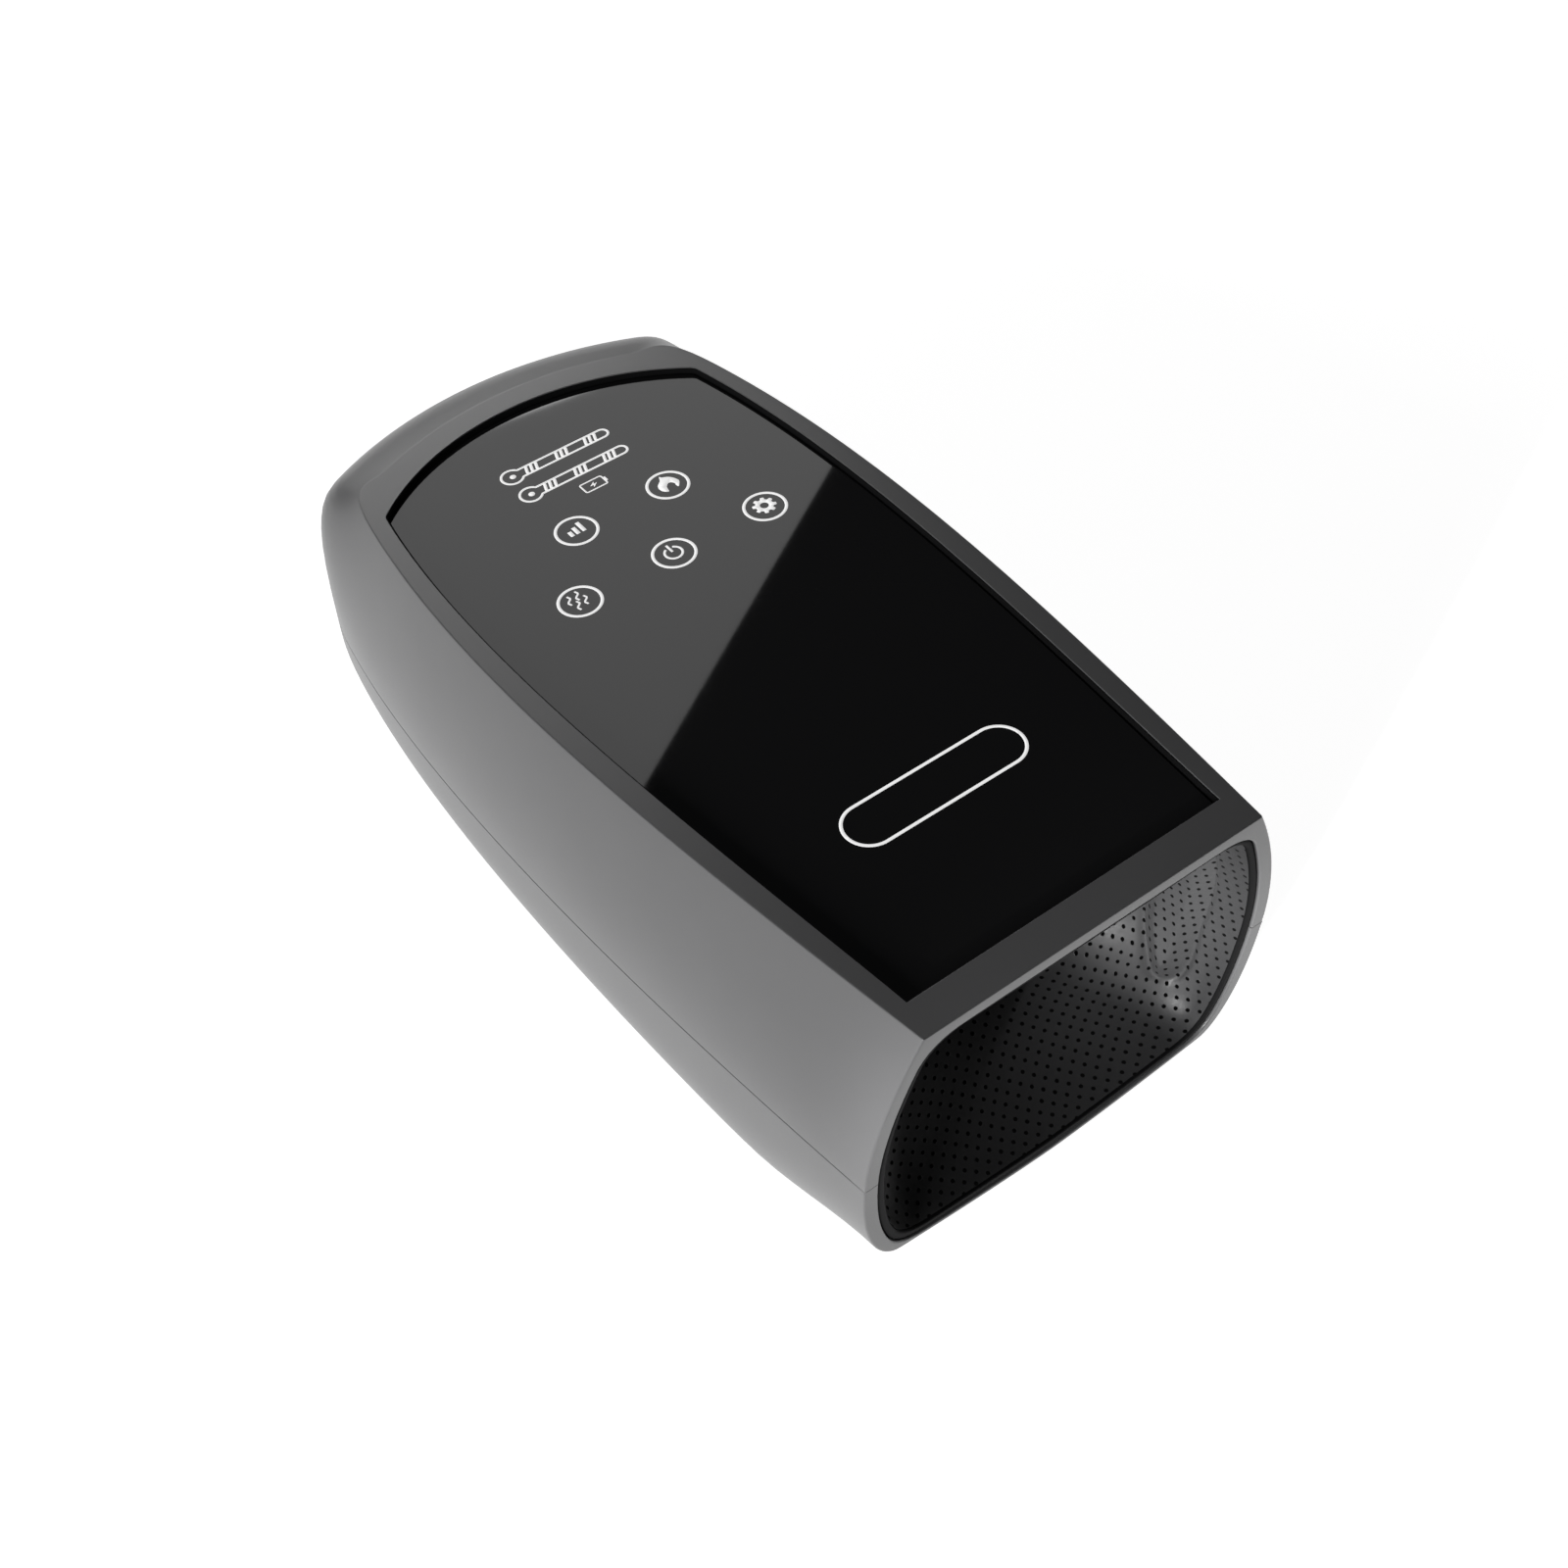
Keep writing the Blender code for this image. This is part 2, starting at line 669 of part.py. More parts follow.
def funnel_share(y):
    """How far the cavity has changed from the mouth's shape to its own."""
    start = FRONT_Y + FRAME_SETBACK + FRAME_LENGTH
    return smooth_step((y - start) / (CAVITY_FORE - start))


def cavity_middle(y):
    """Height of the cavity's axis."""
    inner = mix(FORE_MIDDLE, AFT_MIDDLE, max(depth_share(y), 0.0))
    return mix(FRONT_MIDDLE, inner, funnel_share(y))


def pad_share(angle, y):
    """Swell of the side pads, 1 in their middle and 0 outside them."""
    swell = 0.0
    for middle in (SIDE_PAD_LIFT, math.pi - SIDE_PAD_LIFT):
        turn = (angle - middle + math.pi) % (2 * math.pi) - math.pi
        reach = ((turn / SIDE_PAD_HALF_ANGLE) ** 2
                 + ((y - SIDE_PAD_Y) / SIDE_PAD_HALF_LENGTH) ** 2)
        swell += max(1 - reach * reach, 0.0)
    return swell


def hand_radius(angle, y, swell=True):
    """Radius of the liner's inner face about the cavity's axis."""
    share = depth_share(y)
    half_width = mix(FORE_HALF_WIDTH, AFT_HALF_WIDTH, share)
    half_height = mix(FORE_HALF_HEIGHT, AFT_HALF_HEIGHT, share)
    across = (abs(math.cos(angle)) / half_width) ** CAVITY_POWER
    upright = (abs(math.sin(angle)) / half_height) ** CAVITY_POWER
    inner = (across + upright) ** (-1 / CAVITY_POWER)
    mouth = mouth_radius(angle, FRAME_WIDTH + 2 * CLEARANCE + LINER_THICKNESS)
    radius = mix(mouth, inner, funnel_share(y))
    return radius - (SIDE_PAD_HEIGHT * pad_share(angle, y) if swell else 0.0)


def layer_radius(offset):
    """Radius function at a fixed distance outside the smooth cavity wall."""
    return lambda angle, y: hand_radius(angle, y, swell=False) + offset


LINER_OUT = LINER_THICKNESS
HEATER_IN = LINER_OUT + CLEARANCE
HEATER_OUT = HEATER_IN + HEATER_THICKNESS
BAG_IN = HEATER_OUT + CLEARANCE
BAG_OUT = BAG_IN + BAG_THICKNESS
TRAY_IN = BAG_OUT + CLEARANCE
TRAY_OUT = TRAY_IN + TRAY_THICKNESS


def sleeve_point(angle, y, radius):
    """Point at an angle and a radius about the cavity's axis."""
    return Vector((radius * math.cos(angle), y, cavity_middle(y) + radius * math.sin(angle)))


def sleeve_plate(name, angles, stations, inner, outer, finish):
    """Curved plate between two radius functions, over a span of angles and depths."""
    mesh_data = bmesh.new()
    faces = []
    for radius in (inner, outer):
        faces.append([[mesh_data.verts.new(sleeve_point(angle, y, radius(angle, y)))
                       for angle in angles] for y in stations])
    low, high = faces
    rows, columns = len(stations), len(angles)
    for row in range(rows - 1):
        for column in range(columns - 1):
            for grid in (low, high):
                mesh_data.faces.new((grid[row][column], grid[row][column + 1],
                                     grid[row + 1][column + 1], grid[row + 1][column]))
    for row in range(rows - 1):
        for column in (0, columns - 1):
            mesh_data.faces.new((low[row][column], low[row + 1][column],
                                 high[row + 1][column], high[row][column]))
    for column in range(columns - 1):
        for row in (0, rows - 1):
            mesh_data.faces.new((low[row][column], low[row][column + 1],
                                 high[row][column + 1], high[row][column]))
    return object_from_bmesh(name, mesh_data, finish)


def spaced(start, end, count):
    """Evenly spaced values from start to end."""
    return [mix(start, end, step / count) for step in range(count + 1)]


def grid_angle(step, steps):
    """Angle of a grid line, with the lines closer together at the four corners."""
    turn = 2 * math.pi * step / steps
    return turn + CORNER_CROWDING * math.sin(4 * turn) / 4


def mouth_loops(mesh_data, sections):
    """Loops of the hand opening's outline at (inset, y) sections."""
    angles = [grid_angle(step, MOUTH_STEPS) for step in range(MOUTH_STEPS)]
    loops = []
    for inset, y in sections:
        loops.append([mesh_data.verts.new((
            mouth_radius(angle, inset) * math.cos(angle), y,
            FRONT_MIDDLE + mouth_radius(angle, inset) * math.sin(angle)))
            for angle in angles])
    return loops


def skin_between(mesh_data, low, high):
    """Quads between two closed loops."""
    count = len(low)
    for step in range(count):
        after = (step + 1) % count
        mesh_data.faces.new((low[step], low[after], high[after], high[step]))


def mouth_ring(name, outer_inset, inner_inset, start, end, finish):
    """Ring that follows the hand opening between two insets."""
    mesh_data = bmesh.new()
    loops = mouth_loops(mesh_data, ((outer_inset, start), (outer_inset, end),
                                    (inner_inset, end), (inner_inset, start)))
    for index in range(len(loops)):
        skin_between(mesh_data, loops[index], loops[(index + 1) % len(loops)])
    return object_from_bmesh(name, mesh_data, finish)


def mouth_plug(name, start, end):
    """Solid plug with the outline of the hand opening."""
    mesh_data = bmesh.new()
    loops = mouth_loops(mesh_data, ((0.0, start), (0.0, end)))
    skin_between(mesh_data, *loops)
    for loop in loops:
        mesh_data.faces.new(loop)
    return object_from_bmesh(name, mesh_data, "dark_plastic")


# Housing

def panel_outline(grow):
    """Plan outline of the touch panel, grown by a gap all round."""
    front = FRONT_Y + PANEL_FRONT_SETBACK
    rear = HALF_LENGTH - PANEL_REAR_SETBACK
    shoulder = rear - PANEL_ARC_RISE
    side = (Vector((PANEL_FRONT_HALF_WIDTH, front)),
            Vector((PANEL_FRONT_HALF_WIDTH * PANEL_FORE_HANDLE_SHARES[0],
                    mix(front, shoulder, PANEL_FORE_HANDLE_SHARES[1]))),
            Vector((PANEL_REAR_HALF_WIDTH * PANEL_AFT_HANDLE_SHARES[0],
                    mix(front, shoulder, PANEL_AFT_HANDLE_SHARES[1]))),
            Vector((PANEL_REAR_HALF_WIDTH, shoulder)))
    half = []
    for step in range(PANEL_SIDE_STEPS + 1):
        point = bezier(side, step / PANEL_SIDE_STEPS)
        half.append(Vector((point.x + grow, point.y)))
    half[0].y -= grow
    width = PANEL_REAR_HALF_WIDTH + grow
    rise = PANEL_ARC_RISE + grow
    radius = (width * width + rise * rise) / (2 * rise)
    for step in range(1, PANEL_ARC_STEPS + 1):
        x = width * (1 - step / PANEL_ARC_STEPS)
        y = shoulder + rise - radius + math.sqrt(radius * radius - x * x)
        half.append(Vector((x, y)))
    return half + [Vector((-point.x, point.y)) for point in reversed(half[:-1])]


def below_top(depth):
    """Height function at a depth under the top plane."""
    return lambda y: top_height(y) - depth


def window_outline(grow):
    """Plan outline of the light window in the recess floor."""
    width = HALF_WIDTH * WINDOW_WIDTH_SHARE + grow
    rear = HALF_LENGTH - WINDOW_REAR_SETBACK + grow
    front = rear - WINDOW_LENGTH - 2 * grow
    return [Vector((width, front)), Vector((width, rear)), Vector((-width, rear)),
            Vector((-width, front))]


def screw_places():
    """Plan places of the four housing screws."""
    return [(side * HALF_WIDTH * width, FRONT_Y + station * OVERALL_LENGTH)
            for width, station in SCREW_SHARES for side in (1, -1)]


def foot_places():
    """Plan places of the four rubber feet."""
    x = HALF_WIDTH * FOOT_WIDTH_SHARE
    return [(side * x, FRONT_Y + share * OVERALL_LENGTH)
            for share in FOOT_STATION_SHARES for side in (1, -1)]


BOSS_RADIUS = SCREW_RADIUS + CLEARANCE + BOSS_WALL
COUNTERBORE_RADIUS = SCREW_HEAD_RADIUS + CLEARANCE


def tray_post_places(stations):
    """Plan places where a tray rests on posts of its shell."""
    x = AFT_HALF_WIDTH / 2
    return [(side * x, y) for y in stations for side in (1, -1)]


def tray_surface(x, y, side):
    """Height of a tray's outer face above (1) or below (-1) a plan place."""
    radius = layer_radius(TRAY_OUT)
    low, high = 0.0, math.pi / 2
    for _ in range(HALVING_STEPS):
        middle = (low + high) / 2
        if radius(side * middle, y) * math.cos(middle) > abs(x):
            low = middle
        else:
            high = middle
    return cavity_middle(y) + side * radius(side * low, y) * math.sin(low)


def build_cavity_cutter():
    """Solid that hollows both shells."""
    gap_middle = CLEARANCE / 2
    rows = upper_rows(WALL, DECK_DEPTH, gap_middle, INNER_ROW_STEPS)
    rows += lower_rows(WALL, FLOOR_WALL, gap_middle, INNER_ROW_STEPS)[1:]
    return solid_from_rows("cavity_cutter", rows, "dark_plastic", RIM_DEPTH, LIP_CELLS)


def seam_band(name, outer_inset, inner_inset, drop, rise):
    """Narrow band along the parting plane, round the sides and the rear."""
    mesh_data = bmesh.new()
    loops = []
    for inset in (outer_inset, inner_inset):
        half = outline(BELT_SHARES, inset)
        half = [point for point in half if point.y > FRONT_Y + TONGUE_SETBACK]
        start = Vector((half[0].x, FRONT_Y + TONGUE_SETBACK))
        row = mirrored([Vector((point.x, point.y, seam_height(point.y)))
                        for point in [start] + half])
        for shift in (-drop, rise):
            loops.append([mesh_data.verts.new((point.x, point.y, point.z + shift))
                          for point in row])
    low_out, high_out, low_in, high_in = loops
    ring = (low_out, high_out, high_in, low_in)
    for index in range(len(ring)):
        one, other = ring[index], ring[(index + 1) % len(ring)]
        for step in range(len(one) - 1):
            mesh_data.faces.new((one[step], one[step + 1], other[step + 1], other[step]))
    for end in (0, -1):
        mesh_data.faces.new([row[end] for row in ring])
    return object_from_bmesh(name, mesh_data, "housing_plastic")


def build_upper_shell(cavity):
    """Upper half of the housing, with the recessed deck and the screw bosses."""
    shell = solid_from_rows("upper_shell", upper_rows(0.0, 0.0, 0.0), "housing_plastic")
    mouth = mouth_plug("mouth_cutter_upper", FRONT_Y - CUT_OVERRUN,
                        FRONT_Y + FRAME_SETBACK + FRAME_LENGTH + CLEARANCE)
    recess = slab("recess_cutter", panel_outline(PANEL_GAP), below_top(RECESS_DEPTH),
                  below_top(-CUT_OVERRUN), "dark_plastic")
    window = slab("window_cutter", window_outline(0.0), below_top(DECK_DEPTH + CUT_OVERRUN),
                  below_top(0.0), "dark_plastic")
    groove = seam_band("seam_groove", TONGUE_INSET - CLEARANCE, WALL + CUT_OVERRUN,
                       CUT_OVERRUN, TONGUE_RISE + CLEARANCE)
    cut(shell, cavity, mouth, recess, window, groove)
    for number, (x, y) in enumerate(screw_places(), 1):
        boss = rod(f"upper_boss_{number}", BOSS_RADIUS, (x, y, seam_height(y) + CLEARANCE),
                   (x, y, top_height(y) - DECK_DEPTH + RECESS_FLOOR / 2),
                   "housing_plastic", BOSS_STEPS)
        join(shell, boss)
        bore = rod(f"upper_bore_{number}", SCREW_RADIUS + CLEARANCE,
                   (x, y, seam_height(y) - CUT_OVERRUN),
                   (x, y, seam_height(y) + SCREW_BITE + CLEARANCE), "dark_plastic",
                   BOSS_STEPS)
        cut(shell, bore)
    for number, (x, y) in enumerate(tray_post_places((POST_FRONT,)), 1):
        post = rod(f"upper_post_{number}", POST_RADIUS,
                   (x, y, tray_surface(abs(x) - POST_RADIUS, y, 1) + CLEARANCE),
                   (x, y, top_height(y) - DECK_DEPTH + RECESS_FLOOR / 2),
                   "housing_plastic", BOSS_STEPS)
        join(shell, post)
    return shell


def build_lower_shell(cavity):
    """Lower half of the housing, with posts, bosses and the socket hole."""
    shell = solid_from_rows("lower_shell", lower_rows(0.0, 0.0, CLEARANCE),
                            "housing_plastic", lip_cells=LIP_CELLS)
    mouth = mouth_plug("mouth_cutter_lower", FRONT_Y - CUT_OVERRUN,
                        FRONT_Y + FRAME_SETBACK + FRAME_LENGTH + CLEARANCE)
    cut(shell, cavity, mouth)
    tongue = seam_band("seam_tongue", TONGUE_INSET, WALL - CLEARANCE, TONGUE_ROOT, TONGUE_RISE)
    join(shell, tongue)
    for number, (x, y) in enumerate(screw_places(), 1):
        seat = seam_height(y) - SCREW_GRIP
        boss = rod(f"lower_boss_{number}", COUNTERBORE_RADIUS + BOSS_WALL,
                   (x, y, underside_height(y) + FLOOR_WALL / 2),
                   (x, y, seam_height(y) - 2 * CLEARANCE), "housing_plastic", BOSS_STEPS)
        join(shell, boss)
        well = rod(f"screw_well_{number}", COUNTERBORE_RADIUS,
                   (x, y, underside_height(y) - CUT_OVERRUN), (x, y, seat), "dark_plastic",
                   BOSS_STEPS)
        bore = rod(f"lower_bore_{number}", SCREW_RADIUS + CLEARANCE,
                   (x, y, seat - CLEARANCE), (x, y, seam_height(y) + CUT_OVERRUN),
                   "dark_plastic", BOSS_STEPS)
        cut(shell, well, bore)
    for number, (x, y) in enumerate(tray_post_places((POST_FRONT, POST_REAR)), 1):
        post = rod(f"lower_post_{number}", POST_RADIUS,
                   (x, y, underside_height(y) + FLOOR_WALL / 2),
                   (x, y, tray_surface(abs(x) - POST_RADIUS, y, -1) - CLEARANCE),
                   "housing_plastic", BOSS_STEPS)
        join(shell, post)
    for number, (x, y) in enumerate(foot_places(), 1):
        pocket = rod(f"foot_pocket_{number}", FOOT_RADIUS + CLEARANCE,
                     (x, y, UNDERSIDE_HEIGHT - CUT_OVERRUN),
                     (x, y, UNDERSIDE_HEIGHT + FOOT_RECESS), "dark_plastic", FOOT_STEPS)
        cut(shell, pocket)
    hole = rod("socket_hole", SOCKET_NOSE_RADIUS + CLEARANCE,
               (0.0, BOARD_Y + BOARD_THICKNESS, SOCKET_RISE),
               (0.0, HALF_LENGTH + CUT_OVERRUN, SOCKET_RISE), "dark_plastic")
    cut(shell, hole)
    for side in (1, -1):
        x = side * CONTROL_BOARD_WIDTH * SLOT_PLACE_SHARE
        rib = block(f"board_rib_{side + 2}",
                    (x - SLOT_WIDTH / 2, BOARD_Y - HOLDER_WALL - CLEARANCE,
                     UNDERSIDE_HEIGHT + FLOOR_WALL / 2),
                    (x + SLOT_WIDTH / 2, BOARD_Y + BOARD_THICKNESS + CLEARANCE + HOLDER_WALL,
                     BOARD_LOW + SLOT_DEPTH), "housing_plastic")
        join(shell, rib)
        slot = block(f"board_slot_{side + 2}",
                     (x - SLOT_WIDTH, BOARD_Y - CLEARANCE, BOARD_LOW - CLEARANCE),
                     (x + SLOT_WIDTH, BOARD_Y + BOARD_THICKNESS + CLEARANCE,
                      BOARD_LOW + SLOT_DEPTH + CUT_OVERRUN), "dark_plastic")
        cut(shell, slot)
    return shell


def build_deck():
    """Touch panel, its tape, the light guide and the touch board."""
    slab("touch_panel", panel_outline(0.0), below_top(PANEL_SINK + PANEL_THICKNESS),
         below_top(PANEL_SINK), "panel_gloss")
    tape_top = PANEL_SINK + PANEL_THICKNESS + CLEARANCE
    tape = slab("panel_tape", panel_outline(0.0), below_top(tape_top + TAPE_THICKNESS),
                below_top(tape_top), "dark_plastic")
    hollow = slab("tape_cutter", panel_outline(-TAPE_WIDTH),
                  below_top(tape_top + TAPE_THICKNESS + CUT_OVERRUN),
                  below_top(tape_top - CUT_OVERRUN), "dark_plastic")
    cut(tape, hollow)
    slab("light_guide", window_outline(-CLEARANCE), below_top(DECK_DEPTH),
         below_top(tape_top), "guide_white")
    board_top = DECK_DEPTH + CLEARANCE
    slab("touch_board", window_outline(BOARD_MARGIN), below_top(board_top + BOARD_THICKNESS),
         below_top(board_top), "board_green")


# Liner, airbags, heaters and trays

LAYER_STATIONS = ([TRAY_FRONT, BAG_FRONT] + spaced(HEATER_FRONT, HEATER_REAR, LAYER_STEPS)
                  + [BAG_REAR, TRAY_REAR])
DOME_TURN_SHARES = (0.2, 0.45, 0.7, 0.88)


def build_liner():
    """Soft sleeve of the hand cavity, open at the front and domed at its end."""
    mesh_data = bmesh.new()
    straight = CAVITY_END - CAVITY_DOME
    frame_end = FRONT_Y + FRAME_SETBACK + FRAME_LENGTH
    stations = [FRONT_Y + FRAME_SETBACK + CLEARANCE]
    stations += spaced(frame_end, TRAY_FRONT, THROAT_STEPS)[:-1]
    stations += [y for y in LAYER_STATIONS if y < straight] + [straight]
    angles = [grid_angle(step, SLEEVE_CELLS) for step in range(SLEEVE_CELLS)]
    mouths = []
    for offset in (0.0, LINER_THICKNESS):
        rings = [[mesh_data.verts.new(sleeve_point(angle, y, hand_radius(angle, y) + offset))
                  for angle in angles] for y in stations]
        for share in DOME_TURN_SHARES:
            turn = share * math.pi / 2
            y = straight + (CAVITY_DOME + offset) * math.sin(turn)
            rings.append([mesh_data.verts.new(sleeve_point(
                angle, y, (hand_radius(angle, straight) + offset) * math.cos(turn)))
                for angle in angles])
        tip = mesh_data.verts.new(sleeve_point(0.0, CAVITY_END + offset, 0.0))
        for low, high in zip(rings, rings[1:]):
            skin_between(mesh_data, low, high)
        for step in range(SLEEVE_CELLS):
            mesh_data.faces.new((rings[-1][step], rings[-1][(step + 1) % SLEEVE_CELLS], tip))
        mouths.append(rings[0])
    skin_between(mesh_data, *mouths)
    return object_from_bmesh("liner", mesh_data, "liner_leather")


def build_liner_frame():
    """Dark ring that clamps the liner's edge behind the front rim."""
    start = FRONT_Y + FRAME_SETBACK
    frame = mouth_ring("liner_frame", CLEARANCE, CLEARANCE + FRAME_WIDTH, start,
                       start + FRAME_LENGTH, "dark_plastic")
    lug_start = FRONT_Y + RIM_DEPTH + CLEARANCE
    edge = mouth_radius(0.0, 0.0)
    low = seam_height(FRONT_Y) - LUG_HEIGHT / 2
    for name, inner, outer in (("right_lug", edge - FRAME_WIDTH, edge + LUG_REACH),
                               ("left_lug", -edge - LUG_REACH, -edge + FRAME_WIDTH)):
        lug = block(name, (inner, lug_start, low),
                    (outer, lug_start + LUG_THICKNESS, low + LUG_HEIGHT), "dark_plastic")
        join(frame, lug)
    return frame


def bag_radius(middle, half_angle):
    """Outer radius of an airbag, crowned between its welded edges."""
    def radius(angle, y):
        turn = (angle - middle) / half_angle
        along = (2 * y - BAG_FRONT - BAG_REAR) / (BAG_REAR - BAG_FRONT)
        crown = (1 - turn ** 4) * (1 - along ** 4)
        thickness = mix(BAG_EDGE_THICKNESS, BAG_THICKNESS, max(crown, 0.0))
        return hand_radius(angle, y, swell=False) + BAG_IN + thickness
    return radius


def cell_angles(quarter, cells):
    """Grid angles a number of cells either side of a quarter turn."""
    middle = quarter * SLEEVE_CELLS // 4
    return [grid_angle(middle + step, SLEEVE_CELLS) for step in range(-cells, cells + 1)]


def build_layers():
    """Heaters, airbags and the two trays round the liner."""
    for name, quarter in (("upper_heater", 1), ("lower_heater", -1)):
        sleeve_plate(name, cell_angles(quarter, HEATER_CELLS), LAYER_STATIONS[2:-2],
                     layer_radius(HEATER_IN), layer_radius(HEATER_OUT), "heater_film")
    for name, quarter, cells in (("upper_airbag", 1, TOP_BAG_CELLS),
                                 ("lower_airbag", -1, TOP_BAG_CELLS),
                                 ("right_airbag", 0, SIDE_BAG_CELLS),
                                 ("left_airbag", 2, SIDE_BAG_CELLS)):
        angles = cell_angles(quarter, cells)
        sleeve_plate(name, angles, LAYER_STATIONS[1:-1], layer_radius(BAG_IN),
                     bag_radius(angles[cells], angles[-1] - angles[cells]), "bag_film")
    for name, quarter in (("upper_tray", 1), ("lower_tray", -1)):
        angles = cell_angles(quarter, SLEEVE_CELLS // 4)
        split = CLEARANCE / 2 / (AFT_HALF_WIDTH + TRAY_IN)
        angles[0] += split
        angles[-1] -= split
        sleeve_plate(name, angles, LAYER_STATIONS, layer_radius(TRAY_IN),
                     layer_radius(TRAY_OUT), "inner_plastic")


# Rear bay

BAY_FRONT = CAVITY_END + LINER_THICKNESS + BAY_GAP
HOLDER_HALF_WIDTH = CELL_LENGTH / 2 + CLEARANCE + HOLDER_WALL
HOLDER_DEPTH = 4 * CELL_RADIUS + CELL_GAP + 2 * (CLEARANCE + HOLDER_WALL)
HOLDER_Y = BAY_FRONT + HOLDER_DEPTH / 2
HOLDER_FLOOR = UNDERSIDE_HEIGHT + FLOOR_WALL + CLEARANCE
CELL_Z = HOLDER_FLOOR + HOLDER_WALL + CLEARANCE + CELL_RADIUS
HOLDER_TOP = CELL_Z + CELL_RADIUS + CLEARANCE
SHELF_TOP = HOLDER_TOP + HOLDER_WALL
PUMP_Y = BAY_FRONT + PUMP_HEAD_RADIUS + CLEARANCE
PUMP_Z = SHELF_TOP + 2 * CLEARANCE + CRADLE_WALL + PUMP_HEAD_RADIUS
PUMP_LENGTH = PUMP_MOTOR_LENGTH + PUMP_HEAD_LENGTH
BOARD_Y = HALF_LENGTH - CONTROL_BOARD_SETBACK
BOARD_LOW = SOCKET_RISE - SOCKET_HEIGHT
VALVE_Y = BOARD_Y - VALVE_DEPTH
MANIFOLD_WIDTH = VALVE_PITCH * VALVE_COUNT


def build_battery():
    """Two cells in a box-shaped holder whose lid is the shelf for the pump."""
    holder = block("battery_holder", (-HOLDER_HALF_WIDTH, HOLDER_Y - HOLDER_DEPTH / 2,
                                      HOLDER_FLOOR),
                   (HOLDER_HALF_WIDTH, HOLDER_Y + HOLDER_DEPTH / 2, HOLDER_TOP),
                   "inner_plastic")
    pocket = block("cell_pocket", (HOLDER_WALL - HOLDER_HALF_WIDTH,
                                   HOLDER_Y - HOLDER_DEPTH / 2 + HOLDER_WALL,
                                   HOLDER_FLOOR + HOLDER_WALL),
                   (HOLDER_HALF_WIDTH - HOLDER_WALL,
                    HOLDER_Y + HOLDER_DEPTH / 2 - HOLDER_WALL, HOLDER_TOP + CUT_OVERRUN),
                   "dark_plastic")
    cut(holder, pocket)
    for number, side in ((1, -1), (2, 1)):
        y = HOLDER_Y + side * (CELL_RADIUS + CELL_GAP / 2)
        rod(f"battery_cell_{number}", CELL_RADIUS, (-CELL_LENGTH / 2, y, CELL_Z),
            (CELL_LENGTH / 2, y, CELL_Z), "cell_sleeve")
    return block("battery_lid", (-HOLDER_HALF_WIDTH, HOLDER_Y - HOLDER_DEPTH / 2,
                                 HOLDER_TOP + CLEARANCE),
                 (HOLDER_HALF_WIDTH, VALVE_Y + VALVE_DEPTH / 2,
                  SHELF_TOP + CLEARANCE), "inner_plastic")


def build_pump():
    """Air pump: motor, diaphragm head, eccentric rotor and rubber cradle."""
    left = -PUMP_LENGTH / 2
    split = left + PUMP_MOTOR_LENGTH
    centre = (0.0, PUMP_Y, PUMP_Z)
    axis = (1.0, 0.0, 0.0)
    hole = SHAFT_RADIUS + RUNNING_CLEARANCE
    turned("pump_motor", ((hole, left), (PUMP_RADIUS, left),
                          (PUMP_RADIUS, split - CLEARANCE), (hole, split - CLEARANCE),
                          (hole, left)), centre, axis, "steel")
    right = split + PUMP_HEAD_LENGTH
    room = PUMP_HEAD_RADIUS - PUMP_HEAD_WALL
    turned("pump_head", ((hole, split), (PUMP_HEAD_RADIUS, split),
                         (PUMP_HEAD_RADIUS, right - PUMP_HEAD_WALL),
                         (PUMP_RADIUS, right), (PUMP_PORT_RADIUS, right),
                         (PUMP_PORT_RADIUS, right + PUMP_PORT_LENGTH),
                         (hole, right + PUMP_PORT_LENGTH), (hole, right - PUMP_HEAD_WALL),
                         (room, right - PUMP_HEAD_WALL), (room, split + PUMP_HEAD_WALL),
                         (hole, split + PUMP_HEAD_WALL), (hole, split)),
           centre, axis, "inner_plastic")
    rotor = rod("pump_rotor", SHAFT_RADIUS, (left - SHAFT_TAIL, PUMP_Y, PUMP_Z),
                (split + PUMP_HEAD_WALL + ECCENTRIC_LENGTH, PUMP_Y, PUMP_Z), "steel")
    cam_start = split + PUMP_HEAD_WALL + CLEARANCE
    cam = rod("eccentric_tool", ECCENTRIC_RADIUS,
              (cam_start, PUMP_Y, PUMP_Z + ECCENTRIC_OFFSET),
              (cam_start + ECCENTRIC_LENGTH, PUMP_Y, PUMP_Z + ECCENTRIC_OFFSET), "steel")
    join(rotor, cam)
    cradle_low = SHELF_TOP + 2 * CLEARANCE
    cradle = block("pump_cradle", (split - CRADLE_LENGTH / 2, PUMP_Y - PUMP_HEAD_RADIUS,
                                   cradle_low),
                   (split + CRADLE_LENGTH / 2, PUMP_Y + PUMP_HEAD_RADIUS,
                    cradle_low + CRADLE_WALL + PUMP_HEAD_RADIUS * CRADLE_HEIGHT_SHARE),
                   "rubber")
    bed = rod("cradle_cutter", PUMP_HEAD_RADIUS + CLEARANCE,
              (split - CRADLE_LENGTH, PUMP_Y, PUMP_Z),
              (split + CRADLE_LENGTH, PUMP_Y, PUMP_Z), "dark_plastic")
    cut(cradle, bed)


def valve_x(number):
    """Place of a valve along the row."""
    return (number - (VALVE_COUNT + 1) / 2) * VALVE_PITCH


MANIFOLD_LOW = SHELF_TOP + 2 * CLEARANCE
VALVE_LOW = MANIFOLD_LOW + MANIFOLD_HEIGHT + CLEARANCE
VALVE_TOP = VALVE_LOW + VALVE_HEIGHT


